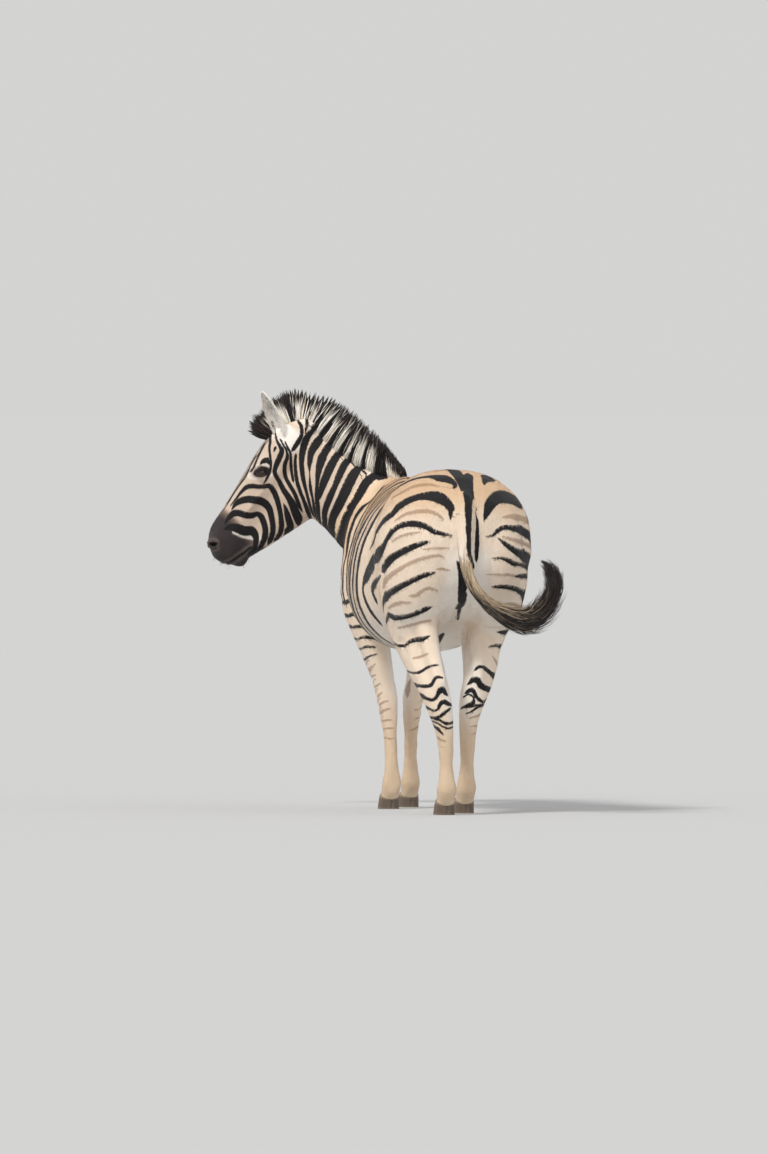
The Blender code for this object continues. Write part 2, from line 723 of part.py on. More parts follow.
def ear(sign):
    """A leaf-shaped cup of even wall, open towards the front and outer side."""
    base = in_head(EAR_BASE[0], EAR_BASE[1], EAR_BASE[2] * sign)
    tip = in_head(EAR_TIP[0], EAR_TIP[1], EAR_TIP[2] * sign)
    axis = (tip - base).normalized()
    front = HEAD_ALONG * cos(EAR_TURN) + HEAD_SIDE * sign * sin(EAR_TURN)
    front = (front - axis * front.dot(axis)).normalized()
    across = axis.cross(front).normalized()
    bm = bmesh.new()
    rings = []
    for share, width, depth, wrap in smooth_rows(EAR_LEVELS, 2):
        centre = base + (tip - base) * share
        spread = pi * (0.5 + 0.5 * wrap)  # how far the wall reaches round to the front
        outer, inner = [], []
        wall = min(EAR_WALL, width * EAR_THIN)
        for k in range(EAR_POINTS):
            angle = -spread * 0.5 + spread * k / (EAR_POINTS - 1)
            direction = across * sin(angle) - front * cos(angle)
            radial = across * (width / 2 * sin(angle)) - front * depth * (cos(angle) - EAR_AXIS)
            outer.append(bm.verts.new(centre + radial))
            inner.append(bm.verts.new(centre + radial - direction * wall))
        rings.append(outer + inner[::-1])
    count = len(rings[0])
    for first, second in zip(rings, rings[1:]):
        for k in range(count):
            after = (k + 1) % count
            bm.faces.new((first[k], first[after], second[after], second[k]))
    for ring in (rings[0], rings[-1]):
        for k in range(EAR_POINTS - 1):
            bm.faces.new((ring[k], ring[k + 1], ring[count - 2 - k], ring[count - 1 - k]))
    bmesh.ops.recalc_face_normals(bm, faces=bm.faces[:])
    bmesh.ops.triangulate(bm, faces=bm.faces[:])
    return to_mesh(bm)


def hair_wall(stations, side_of):
    """A wall of upright hair over stations (root, tip, half thickness at root and at tip)."""
    rings = []
    for index, (root, tip, half, tip_half) in enumerate(stations):
        side = side_of(index)
        profile = [(0.0, half), (MANE_BODY, half), (1.0, tip_half)]
        ring = [root.lerp(tip, share) + side * width for share, width in profile]
        ring += [root.lerp(tip, share) - side * width for share, width in reversed(profile)]
        rings.append(ring)
    return loft(rings)


def mane_stations():
    rows = [(*crest, *under) for crest, under, _ in NECK]
    stations = []
    crests = [Vector(row[0:3]) for row in rows]
    for index, (row, height) in enumerate(zip(rows, MANE_HEIGHTS)):
        ahead = tangent_at(crests, index)
        rise = (crests[index] - Vector(row[3:6])).normalized()
        rise = (rise - ahead * rise.dot(ahead)).normalized()
        stations.append((crests[index] - rise * MANE_ROOT, crests[index] + rise * height))
    stations = stations[1:-1]
    for foot, tip in POLL_MANE:
        skin = in_head(*foot)
        end = in_head(*tip)
        stations.append((skin - (end - skin).normalized() * MANE_ROOT, end))
    return stations


def mane():
    ends = smooth_rows([(*root, *tip) for root, tip in mane_stations()], 2)
    stations = []
    for index, row in enumerate(ends):
        taper = min(1.0, MANE_START[0] + index / MANE_START[1])
        stations.append((Vector(row[0:3]), Vector(row[3:6]), MANE_HALF * taper, MANE_TIP_HALF * taper))

    feet = [station[0] for station in stations]

    def side_of(index):
        rise = stations[index][1] - stations[index][0]
        return rise.cross(tangent_at(feet, index)).normalized()

    return hair_wall(stations, side_of)


def forelock():
    stations = []
    for foot, tip in FORELOCK:
        skin = in_head(*foot)
        end = in_head(*tip)
        root = skin - (end - skin).normalized() * MANE_ROOT
        stations.append((root, end, *FORELOCK_HALF))
    return hair_wall(stations, lambda index: HEAD_SIDE)


def tail_pieces():
    """The tail in lengths: each starts a gap beyond the ring where the last one ends."""
    rows = smooth_rows(TAIL, 2)
    last = len(rows) - 1
    points = [Vector(row[0:3]) for row in rows]
    rings = []
    directions = []
    for index, (centre, row) in enumerate(zip(points, rows)):
        direction = tangent_at(points, index)
        side = direction.cross(Vector((0, 1, 0))).normalized()
        up = side.cross(direction).normalized()
        angles = [2 * pi * k / TAIL_POINTS for k in range(TAIL_POINTS)]
        rings.append([centre + (side * cos(angle) + up * sin(angle)) * row[3] for angle in angles])
        directions.append(direction)
    pieces = {}
    for name, start, end in TAIL_PARTS:
        first = round(start * last)
        chosen = rings[first : round(end * last) + 1]
        if first > 0:
            chosen[0] = [point + directions[first] * GAP for point in chosen[0]]
        pieces[name] = loft(chosen)
    return pieces


# ---- assembly ------------------------------------------------------------------------------


def clear_of(mesh, neighbours):
    """Cuts a piece back to its neighbours, leaving the gap."""
    for neighbour in neighbours:
        mesh = combine(mesh, swollen(neighbour, GAP * CUTTER_MARGIN), "DIFFERENCE")
    return mesh


def largest_body(mesh):
    """The biggest closed body of a mesh; crumbs left by a cut are dropped."""
    bm = bmesh.new()
    bm.from_mesh(mesh)
    waiting = set(bm.verts)
    groups = []
    while waiting:
        stack = [waiting.pop()]
        group = set(stack)
        while stack:
            for edge in stack.pop().link_edges:
                for vertex in edge.verts:
                    if vertex not in group:
                        group.add(vertex)
                        waiting.discard(vertex)
                        stack.append(vertex)
        groups.append(group)
    keep = max(groups, key=len)
    doomed = [v for v in bm.verts if v not in keep]
    bmesh.ops.delete(bm, geom=doomed, context="VERTS")
    return to_mesh(bm)


def build():
    clear_scene()
    coat = make_material("coat", CREAM, 0.8)
    dusty_coat = make_material("dusty_coat", DUSTY, 0.85)
    ear_hair = make_material("ear_hair", PALE, 0.85)
    mane_hair = make_material("mane_hair", DARK, 0.75)
    tail_hair = make_material("tail_hair", PALE, 0.8)
    hoof_horn = make_material("hoof_horn", HORN, 0.6)
    eye_surface = make_material("eye_surface", EYE_BROWN, 0.08)

    nodes = parted_flesh()
    for side, sign in (("left", 1), ("right", -1)):
        nodes["head"] = combine(nodes["head"], eye_ball(sign, EYE_RADIUS + GAP), "DIFFERENCE")
        nodes[f"eye_{side}"] = eye_ball(sign, EYE_RADIUS)
        nodes[f"ear_{side}"] = largest_body(clear_of(ear(sign), [nodes["head"], nodes["neck"]]))
    flesh = [nodes["head"], nodes["neck"], nodes["trunk"]]
    ears = [nodes["ear_left"], nodes["ear_right"]]
    nodes["mane"] = largest_body(clear_of(mane(), flesh + ears))
    nodes["forelock"] = largest_body(clear_of(forelock(), [nodes["head"], nodes["mane"]] + ears))
    for name, mesh in tail_pieces().items():
        nodes[name] = largest_body(clear_of(mesh, [nodes["trunk"]]))
    for (leg, side), sole in SOLES.items():
        nodes[f"hoof_{leg}_{side}"] = hoof(sole)

    finishes = {
        "fore_leg": dusty_coat,
        "hind_leg": dusty_coat,
        "eye": eye_surface,
        "ear": ear_hair,
        "mane": mane_hair,
        "forelock": mane_hair,
        "tail": tail_hair,
        "hoof": hoof_horn,
    }
    points = [vertex.co for mesh in nodes.values() for vertex in mesh.vertices]
    low = Vector([min(point[axis] for point in points) for axis in range(3)])
    high = Vector([max(point[axis] for point in points) for axis in range(3)])
    floor_centre = bpy.data.objects.new("floor_centre", None)
    bpy.context.scene.collection.objects.link(floor_centre)
    floor_centre.location = (-(low.x + high.x) / 2, -(low.y + high.y) / 2, -low.z)
    for name, mesh in nodes.items():
        finish = next((f for key, f in finishes.items() if name.startswith(key)), coat)
        add_object(name, mesh, finish, floor_centre)


build()
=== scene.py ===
"""Looks of a life-size plains zebra, standing still with its head turned back over its left side.

One skin stands for all the flesh. Over it lie short flat tufts, an upright mane, a forelock and
the tail's long hair; the hooves and eyes are pieces of their own. The bands are drawn once, as
strokes on elevations of the animal, and both the skin and the hair take their colours from them.
Lengths are in metres, and in millimetres in the tables of strokes. Places are in the body's own
frame, as in the part's source; BODY is where that frame sits.
"""

from math import atan2, cos, pi, radians, sin

import bmesh
import bpy
import numpy as np
from mathutils import Matrix, Vector
from mathutils.bvhtree import BVHTree


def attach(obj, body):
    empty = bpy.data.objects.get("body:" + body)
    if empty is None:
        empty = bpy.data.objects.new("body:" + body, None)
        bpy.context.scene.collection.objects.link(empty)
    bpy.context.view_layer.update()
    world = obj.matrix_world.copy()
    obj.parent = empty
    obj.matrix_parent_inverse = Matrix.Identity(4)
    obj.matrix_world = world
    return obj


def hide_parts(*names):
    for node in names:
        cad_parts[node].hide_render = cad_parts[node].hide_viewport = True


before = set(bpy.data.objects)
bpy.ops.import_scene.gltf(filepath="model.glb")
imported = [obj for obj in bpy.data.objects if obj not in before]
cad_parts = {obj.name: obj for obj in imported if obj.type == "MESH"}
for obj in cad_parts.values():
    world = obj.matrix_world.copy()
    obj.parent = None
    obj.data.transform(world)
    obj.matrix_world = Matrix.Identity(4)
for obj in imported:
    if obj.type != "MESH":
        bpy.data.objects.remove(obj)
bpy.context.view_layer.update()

# ---- where things are ------------------------------------------------------------------------

BODY = Vector((-0.1651, 0.0617, 0.0))
UP = Vector((0, 0, 1))

# The head's own frame: poll, yaw of its nose from straight ahead towards its left, and slope.
POLL = Vector((0.3215, -0.778, 1.464))
HEAD_YAW = radians(76)
HEAD_SLOPE = radians(55)
AHEAD = Vector((sin(HEAD_YAW), -cos(HEAD_YAW), 0))
HEAD_ALONG = AHEAD * cos(HEAD_SLOPE) - UP * sin(HEAD_SLOPE)
HEAD_UP = AHEAD * sin(HEAD_SLOPE) + UP * cos(HEAD_SLOPE)
HEAD_SIDE = Vector((cos(HEAD_YAW), sin(HEAD_YAW), 0))
ALONG_HEAD, UP_HEAD, ACROSS_HEAD = HEAD_AXES = np.array((HEAD_ALONG, HEAD_UP, HEAD_SIDE))
EYE_PLACE = (0.229, 0.012, 0.083)
EYE_RADIUS = 0.0215

# Neck: crest point, underside point, half width, from the shoulders to the poll.
NECK = (
    ((0.000, -0.300, 1.250), (0.000, -0.560, 0.800), 0.160),
    ((0.000, -0.380, 1.266), (0.024, -0.670, 0.870), 0.146),
    ((0.020, -0.450, 1.276), (0.075, -0.715, 0.935), 0.128),
    ((0.060, -0.550, 1.292), (0.150, -0.740, 1.005), 0.108),
    ((0.120, -0.635, 1.326), (0.210, -0.750, 1.065), 0.098),
    ((0.190, -0.705, 1.385), (0.265, -0.770, 1.115), 0.090),
    ((0.255, -0.752, 1.452), (0.320, -0.790, 1.180), 0.080),
    ((0.318, -0.782, 1.490), (0.385, -0.805, 1.260), 0.064),
)

# The rear elevation: a plane at the root of the tail, seen from far behind and a little to
# the left. A place on it is how far across to the right and how high it lies.
TAIL_ROOT = Vector((0.0, 0.58, 0.0))
VIEW_TURN = radians(14)
VIEW_DISTANCE = 60.0
EYE_LEVEL = 1.6
LOOKING = Vector((-sin(VIEW_TURN), -cos(VIEW_TURN), 0))
ACROSS = Vector((-cos(VIEW_TURN), sin(VIEW_TURN), 0))
WATCHING = TAIL_ROOT - LOOKING * VIEW_DISTANCE + UP * EYE_LEVEL


def srgb(red, green, blue):
    """A colour given as it looks on a screen, 0 to 255, as the light it sends."""
    shares = np.array((red, green, blue)) / 255
    return np.where(shares <= 0.04045, shares / 12.92, ((shares + 0.055) / 1.055) ** 2.4)


def in_head(along, up, side=0.0):
    return POLL + HEAD_ALONG * along + HEAD_UP * up + HEAD_SIDE * side


def on_side(place, sign):
    """A place of the head's frame on one of its sides."""
    along, up, side = place
    return in_head(along, up, side * sign)


def head_places(places):
    """Places in the body's frame as (along, up, side) in the head's."""
    return (places - np.array(POLL)) @ HEAD_AXES.T


# ---- small tools -----------------------------------------------------------------------------


def smooth_rows(rows, steps):
    """Rows of sizes with extra rows between them, on a Catmull-Rom curve."""
    values = np.array(rows, float)
    padded = np.vstack((2 * values[0] - values[1], values, 2 * values[-1] - values[-2]))
    out = []
    for index in range(len(values) - 1):
        before, start, end, after = padded[index : index + 4]
        for step in range(steps):
            t = step / steps
            row = 2 * start + (end - before) * t
            row = row + (2 * before - 5 * start + 4 * end - after) * t**2
            row = row + (3 * start - before - 3 * end + after) * t**3
            out.append(0.5 * row)
    out.append(values[-1])
    return np.array(out)


def smoothstep(values, start, end):
    """0 before the start and 1 past the end, with a soft step between."""
    share = np.clip((values - start) / (end - start), 0, 1)
    return share * share * (3 - 2 * share)


def bell(values, middle, reach):
    """1 at the middle, fading to nothing on both sides."""
    return np.exp(-(((values - middle) / reach) ** 2))


def unit(vectors):
    return vectors / np.maximum(np.linalg.norm(vectors, axis=-1, keepdims=True), 1e-9)


def corners_of(mesh):
    """Vertex places of a mesh as an array."""
    places = np.empty(len(mesh.vertices) * 3)
    mesh.vertices.foreach_get("co", places)
    return places.reshape(-1, 3)


def normals_of(mesh):
    normals = np.empty(len(mesh.vertices) * 3)
    mesh.vertices.foreach_get("normal", normals)
    return normals.reshape(-1, 3)


def move_corners(mesh, places):
    mesh.vertices.foreach_set("co", np.ascontiguousarray(places).ravel())
    mesh.update()


def set_attribute(mesh, name, kind, domain, values, key):
    layer = mesh.attributes.new(name, kind, domain)
    layer.data.foreach_set(key, np.ascontiguousarray(values, np.float32).ravel())


def paint(mesh, colours):
    """Gives every corner of a mesh its own colour."""
    rgba = np.column_stack((colours, np.ones(len(colours))))
    set_attribute(mesh, "ground", "FLOAT_COLOR", "POINT", rgba, "color")


def linked(name, data):
    """A new object in the scene."""
    made = bpy.data.objects.new(name, data)
    bpy.context.scene.collection.objects.link(made)
    return made


def add_piece(name, mesh, material, replaced=()):
    """A finished piece: named, given its look, tied to the body, with the CAD parts it stands for hidden."""
    mesh.name = name
    piece = linked(name, mesh)
    mesh.materials.clear()
    mesh.materials.append(material)
    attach(piece, "root")
    if replaced:
        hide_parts(*replaced)
    return piece


def to_mesh(bm, name="shape"):
    mesh = bpy.data.meshes.new(name)
    bm.to_mesh(mesh)
    bm.free()
    return mesh


def with_modifier(mesh, kind, **settings):
    """The mesh after one modifier, as a new mesh."""
    holder = linked("holder", mesh)
    modifier = holder.modifiers.new("shape", kind)
    for key, value in settings.items():
        setattr(modifier, key, value)
    bpy.context.view_layer.update()
    shaped = holder.evaluated_get(bpy.context.evaluated_depsgraph_get())
    result = bpy.data.meshes.new_from_object(shaped)
    bpy.data.objects.remove(holder, do_unlink=True)
    return result


def body_copy(node, swell=0.0):
    """A CAD node's shape in the body's frame, its triangles joined and swollen a little."""
    bm = bmesh.new()
    bm.from_mesh(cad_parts[node].data)
    bmesh.ops.remove_doubles(bm, verts=bm.verts[:], dist=1e-5)
    bmesh.ops.translate(bm, verts=bm.verts[:], vec=-BODY)
    bm.normal_update()
    for vertex in bm.verts:
        vertex.co += vertex.normal * swell
    return to_mesh(bm, node)


# ---- the skin's shape ------------------------------------------------------------------------

FLESH = (
    "head", "neck", "trunk",
    "fore_leg_left", "fore_leg_right", "hind_leg_left", "hind_leg_right", "tail_dock",
)
SWELL = 0.0010  # closes the gaps between the CAD pieces
SKIN_VOXEL = 0.0122
SKIN_SMOOTHING = 4  # rounds
COAT_DEPTH = 0.003  # the skin lies so far inside the solids
FACE_COAT_DEPTH = 0.0015
SOCKET_FILL = 0.94  # a ball in each eye socket, as a share of the eye
EAR_ROOT_SHARE, EAR_ROOT_BACK = 0.03, 0.004  # the ear's fleshy root, up the ear and behind its middle
EAR_ROOT_RADII = (0.026, 0.030, 0.023)
SEAM_SMOOTHING = 14
SEAM_REACH = 0.030
SEAMS = (  # a point on a cut and the way it faces
    ((0.290, -0.772, 1.290), (0.880, -0.218, -0.472)),
    ((0.010, -0.571, 1.115), (0.190, -0.940, 0.285)),
)
SOLES = {
    ("fore", "left"): (0.066, -0.350),
    ("fore", "right"): (-0.062, -0.559),
    ("hind", "left"): (0.070, 0.548),
    ("hind", "right"): (-0.053, 0.352),
}
PASTERN_PLUG = (0.034, 0.030, 0.070)  # radius and the heights it fills, down inside the hoof
PLUG_TAPER = 0.94
CUT_HEIGHTS = (0.59, 0.72)  # the legs' upper cuts lie between these
# Where the skin is finer, in the head's frame: reaches round the eyes and nostrils, and the muzzle.
FACE_EYE_REACH, FINE_EYE_REACH, FINE_NOSTRIL_REACH = 0.048, 0.033, 0.026
MUZZLE_SPAN = (0.455, 0.64)
RELAX_SHRINK = 0.5
HOOF_SET_BACK = 0.016


def ball(centre, radii, axes=(Vector((1, 0, 0)), Vector((0, 1, 0)), UP)):
    bm = bmesh.new()
    bmesh.ops.create_icosphere(bm, subdivisions=3, radius=1.0)
    for vertex in bm.verts:
        x, y, z = vertex.co
        vertex.co = centre + axes[0] * x * radii[0] + axes[1] * y * radii[1] + axes[2] * z * radii[2]
    bmesh.ops.recalc_face_normals(bm, faces=bm.faces[:])
    return to_mesh(bm)


def pastern_plug(sole):
    """A short post from the foot down into the hoof, so that no rim of skin shows there."""
    radius, low, high = PASTERN_PLUG
    bm = bmesh.new()
    bmesh.ops.create_cone(
        bm, cap_ends=True, segments=24, radius1=radius, radius2=radius * PLUG_TAPER, depth=high - low
    )
    centre = Vector((sole[0], sole[1] + HOOF_SET_BACK, (low + high) / 2))
    bmesh.ops.translate(bm, verts=bm.verts[:], vec=centre)
    return to_mesh(bm)


def near_eye(places, reach, side):
    """Which places lie within reach of an eye, and further out to a side than the last number."""
    along, up, out = head_places(places).T
    return ((along - EYE_PLACE[0]) ** 2 + (up - EYE_PLACE[1]) ** 2 < reach**2) & (abs(out) > side)


def in_face_detail(places):
    """Which places belong to the eyes, nostrils, mouth and ears' roots."""
    along, _, _ = head_places(places).T
    return near_eye(places, FACE_EYE_REACH, 0.05) | ((along > MUZZLE_SPAN[0]) & (along < MUZZLE_SPAN[1]))


def in_eye_detail(places):
    along, up, side = head_places(places).T
    nostril = (along - 0.561) ** 2 + (up - 0.005) ** 2 < FINE_NOSTRIL_REACH**2
    return near_eye(places, FINE_EYE_REACH, 0.06) | (nostril & (abs(side) > 0.02))


def in_fine_region(places):
    along, up, side = head_places(places).T
    return (along > -0.06) & (along < 0.64) & (abs(side) < 0.15) & (abs(up) < 0.30)


def subdivide_where(bm, chosen):
    """Divides the edges of every face whose middle is chosen."""
    bm.faces.ensure_lookup_table()
    middles = np.array([face.calc_center_median() for face in bm.faces])
    picked = np.flatnonzero(chosen(middles))
    edges = {edge for index in picked for edge in bm.faces[index].edges}
    bmesh.ops.subdivide_edges(bm, edges=list(edges), cuts=1, use_grid_fill=True, smooth=0.0)


def relax(bm, rounds, verts=None, swell_back=0.47):
    axes = {"use_axis_x": True, "use_axis_y": True, "use_axis_z": True}
    for _ in range(rounds):
        for factor in (RELAX_SHRINK, -swell_back):  # shrink, then swell back a little less
            bmesh.ops.smooth_vert(bm, verts=verts or bm.verts[:], factor=factor, **axes)


def near_seam(place):
    """Whether a point lies near a cut between two CAD pieces, where their facets differ."""
    if CUT_HEIGHTS[0] < place.z < CUT_HEIGHTS[1]:
        return True
    gaps = [(place - Vector(point)).dot(Vector(normal).normalized()) for point, normal in SEAMS]
    return any(abs(gap) < SEAM_REACH for gap in gaps)


def joined_flesh():
    bm = bmesh.new()
    for node in FLESH:
        bm.from_mesh(body_copy(node, SWELL))
    for sign in (1, -1):
        bm.from_mesh(ball(on_side(EYE_PLACE, sign), (EYE_RADIUS * SOCKET_FILL,) * 3))
        base, tip, front, _ = ear_axes(sign)
        root = Vector(base + (tip - base) * EAR_ROOT_SHARE - front * EAR_ROOT_BACK)
        bm.from_mesh(ball(root, EAR_ROOT_RADII, (HEAD_ALONG, HEAD_UP, HEAD_SIDE)))
    for sole in SOLES.values():
        bm.from_mesh(pastern_plug(sole))
    return to_mesh(bm)


def base_skin():
    """All the flesh as one closed skin, finer over the head than over the body."""
    solid = with_modifier(joined_flesh(), "REMESH", mode="VOXEL", voxel_size=SKIN_VOXEL, adaptivity=0.0)
    bm = bmesh.new()
    bm.from_mesh(solid)
    relax(bm, SKIN_SMOOTHING)
    seams = [vertex for vertex in bm.verts if near_seam(vertex.co)]
    relax(bm, SEAM_SMOOTHING, seams, swell_back=RELAX_SHRINK)
    subdivide_where(bm, in_fine_region)
    relax(bm, 2)
    subdivide_where(bm, in_face_detail)
    relax(bm, 1)
    subdivide_where(bm, in_eye_detail)
    bmesh.ops.triangulate(bm, faces=bm.faces[:])
    for sign in (1, -1):
        bm.from_mesh(ear_cup(sign))
    return to_mesh(bm, "skin")


# ---- relief ----------------------------------------------------------------------------------


def lobe(places, centre, radii):
    """A soft round weight, 1 at the centre."""
    return np.exp(-(((places - np.array(centre)) / np.array(radii)) ** 2).sum(1))


HEAD_RELIEF = (  # place along, up and to the side, radii, rise: negative is a hollow
    ((0.196, 0.036, 0.084), (0.034, 0.016, 0.030), 0.0040),  # bone over the eye
    ((0.255, -0.030, 0.080), (0.030, 0.012, 0.040), -0.0025),  # hollow under the eye
    ((0.165, 0.030, 0.075), (0.026, 0.016, 0.030), -0.0040),  # hollow behind the brow
    ((0.330, -0.034, 0.060), (0.075, 0.009, 0.040), 0.0036),  # cheekbone's ridge
    ((0.340, -0.062, 0.060), (0.070, 0.018, 0.040), -0.0024),
    ((0.215, -0.115, 0.075), (0.075, 0.070, 0.040), 0.0030),  # chewing muscle
    ((0.160, -0.190, 0.060), (0.030, 0.040, 0.040), -0.0020),
    ((0.455, -0.010, 0.060), (0.050, 0.014, 0.040), -0.0020),  # hollow before the nostril
    ((0.520, 0.022, 0.040), (0.030, 0.010, 0.030), 0.0020),
    ((0.575, -0.035, 0.040), (0.020, 0.026, 0.040), 0.0022),  # upper lip
    ((0.440, -0.110, 0.050), (0.050, 0.012, 0.040), -0.0016),
)
BODY_RELIEF = (  # centre, radii, rise; one on each side
    ((0.240, 0.330, 1.090), (0.10, 0.030, 0.050), 0.004),  # point of the hip
    ((0.240, 0.180, 1.080), (0.10, 0.060, 0.070), -0.006),  # hollow of the flank
    ((0.200, 0.560, 0.950), (0.10, 0.020, 0.120), -0.005),  # crease between the thigh's muscles
    ((0.170, -0.330, 0.980), (0.10, 0.030, 0.110), -0.005),  # behind the shoulder
    ((0.200, -0.430, 1.000), (0.10, 0.020, 0.100), 0.003),  # ridge of the shoulder blade
    ((0.210, -0.560, 0.900), (0.10, 0.045, 0.040), 0.004),  # point of the shoulder
    ((0.200, 0.215, 0.720), (0.10, 0.030, 0.060), -0.005),  # fold of the flank
)
LEG_RELIEF = (  # legs, height, place behind the leg's middle, reach up and along, rise
    ("hind", 0.660, 0.016, 0.055, 0.014, -0.0060),  # hollow before the heel's tendon
    ("hind", 0.560, 0.030, 0.025, 0.016, 0.0030),  # point of the hock
    ("hind", 0.500, -0.012, 0.020, 0.018, -0.0030),
    ("hind", 0.330, 0.010, 0.110, 0.011, -0.0045),  # groove between the bone and the tendons
    ("hind", 0.195, 0.000, 0.020, 0.030, -0.0020),
    ("fore", 0.560, 0.012, 0.060, 0.014, -0.0030),
    ("fore", 0.495, 0.000, 0.016, 0.030, -0.0030),  # above and below the knee
    ("fore", 0.385, 0.000, 0.018, 0.030, -0.0030),
    ("fore", 0.300, 0.010, 0.090, 0.011, -0.0045),
    ("fore", 0.195, 0.000, 0.020, 0.030, -0.0020),
)
RIB_SPACING = 0.052
RIB_RISE = 0.0003


EYE_TILT = radians(-42)  # the inner corner lies lower
OPENING = (0.0202, 0.0118, 0.0108)  # half length, height above and below
LID_THICKNESS = 0.0016
UNDER_LIDS = 0.0040  # between the lids the skin lies so far inside the eyeball
CREASE_DEPTH = 0.0020
ROLL_RISE = 0.0014  # the thick rim of the lids
LID_REACH = 0.034


def along_lids(along, up):
    """Places round the eye, turned so that the first runs along the lids."""
    return along * cos(EYE_TILT) - up * sin(EYE_TILT), along * sin(EYE_TILT) + up * cos(EYE_TILT)


def lid_rim(along, up):
    """1 on the rim of the opening between the lids, less inside it."""
    height = np.where(up > 0, OPENING[1], OPENING[2])
    return np.abs(along / OPENING[0]) ** 1.7 + np.abs(up / height) ** 2.0


def shape_lids(places, side):
    """Lays the skin over the eyeball as two lids round an almond opening."""
    outwards = ACROSS_HEAD * side
    local = (places - np.array(on_side(EYE_PLACE, side))) @ np.array((ALONG_HEAD, UP_HEAD, outwards)).T
    along, up = along_lids(local[:, 0], local[:, 1])
    out = local[:, 2]
    flat = np.hypot(along, up)
    near = (flat < LID_REACH) & (out > -0.012)
    rim = lid_rim(along, up)
    inside = 1 - smoothstep(rim, 0.86, 1.06)
    over = np.sqrt(np.maximum((EYE_RADIUS + LID_THICKNESS) ** 2 - flat**2, 0))
    under = np.sqrt(np.maximum((EYE_RADIUS - UNDER_LIDS) ** 2 - flat**2, 0)) - 0.001
    # the lid hugs the ball near the opening and joins the cheek and brow further out
    hug = 1 - smoothstep(flat, 0.017, 0.029)
    crease = bell(rim, 1.85, 0.34) * (up > -0.004) * CREASE_DEPTH
    roll = bell(rim, 1.20, 0.18) * ROLL_RISE
    target = out * (1 - hug) + over * hug + roll - crease
    target = target * (1 - inside) + under * inside
    target = np.where(near, target, out)
    share = 1 - smoothstep(flat, LID_REACH * 0.86, LID_REACH)
    return places + ((target - out) * share)[:, None] * outwards, inside * near


NOSTRIL = (0.561, 0.003)
NOSTRIL_TILT = radians(52)
NOSTRIL_HALF = (0.0185, 0.0085)
NOSTRIL_DEPTH = 0.016
MOUTH = ((0.612, -0.074), (0.590, -0.083), (0.560, -0.098), (0.520, -0.113), (0.487, -0.124))
NOSTRIL_RIM = 0.0030
LIP_RISE = 0.0013
MOUTH_DEPTH = 0.0045
MOUTH_HALF = 0.0035


def distance_to_path(points, path):
    """Distance from each point to a path of straight lengths, in a plane."""
    best = np.full(len(points), np.inf)
    path = np.array(path, float)
    for start, end in zip(path, path[1:]):
        run = end - start
        share = np.clip(((points - start) @ run) / (run @ run), 0, 1)
        best = np.minimum(best, np.linalg.norm(points - start - share[:, None] * run, axis=1))
    return best


def shape_face(places, normals):
    """How far the face rises for bones, muscles, nostrils and mouth, and the masks of the last two."""
    local = head_places(places)
    rise = np.zeros(len(places))
    for (along, up, side), radii, amount in HEAD_RELIEF:
        for sign in (1, -1):
            rise += amount * lobe(local, (along, up, side * sign), radii)
    along, up, side = local.T
    facing = np.abs(normals @ ACROSS_HEAD)
    on_head = (along > 0.40) & (along < 0.66) & (np.abs(up) < 0.20)
    # nostril: a slanting comma with a raised rim
    a = (along - NOSTRIL[0]) * cos(NOSTRIL_TILT) + (up - NOSTRIL[1]) * sin(NOSTRIL_TILT)
    b = -(along - NOSTRIL[0]) * sin(NOSTRIL_TILT) + (up - NOSTRIL[1]) * cos(NOSTRIL_TILT)
    b = b - 8.0 * a**2
    ring = np.hypot(a / NOSTRIL_HALF[0], b / NOSTRIL_HALF[1])
    open_side = on_head & (np.abs(side) > 0.012)
    hole = (1 - smoothstep(ring, 0.70, 1.05)) * open_side
    rise += bell(ring, 1.35, 0.30) * NOSTRIL_RIM * open_side
    rise -= hole * NOSTRIL_DEPTH
    # mouth: a groove that ends in a soft corner
    gap = distance_to_path(np.column_stack((along, up)), MOUTH)
    groove = bell(gap, 0, MOUTH_HALF) * on_head
    rise -= groove * MOUTH_DEPTH
    rise += bell(gap, 0.009, 0.005) * LIP_RISE * on_head * (facing > 0.2)
    return rise, hole, groove


def leg_middles(node, heights):
    """The middles of a leg at many heights."""
    middle_at = middle_finder(node)
    levels = np.linspace(0.05, 0.80, 60)
    rows = np.array([middle_at(level) for level in levels])
    return np.column_stack([np.interp(heights, levels, rows[:, axis]) for axis in (0, 1)])


def shape_body(places, normals):
    rise = np.zeros(len(places))
    for (x, y, z), radii, amount in BODY_RELIEF:
        for sign in (1, -1):
            rise += amount * lobe(places, (x * sign, y, z), radii)
    for leg, side in SOLES:
        middles = leg_middles(f"{leg}_leg_{side}", places[:, 2])
        apart = places[:, :2] - middles
        near = (np.abs(apart[:, 0]) < 0.08) & (np.abs(apart[:, 1]) < 0.12) & (places[:, 2] < 0.78)
        sideways = smoothstep(np.abs(normals[:, 0]), 0.25, 0.75) * near
        for kind, height, behind, high, long, amount in LEG_RELIEF:
            if kind != leg:
                continue
            offset = ((places[:, 2] - height) / high) ** 2 + ((apart[:, 1] - behind) / long) ** 2
            rise += amount * np.exp(-offset) * sideways
    ribs = (np.abs(places[:, 1] + 0.02) < 0.26) & (places[:, 2] > 0.70) & (places[:, 2] < 1.12)
    wave = np.sin(2 * pi * (places[:, 1] + 0.35 * places[:, 2]) / RIB_SPACING)
    fade = smoothstep(np.abs(places[:, 1] + 0.02), 0.26, 0.12) * smoothstep(np.abs(normals[:, 0]), 0.5, 0.9)
    rise += ribs * wave * fade * RIB_RISE
    return rise


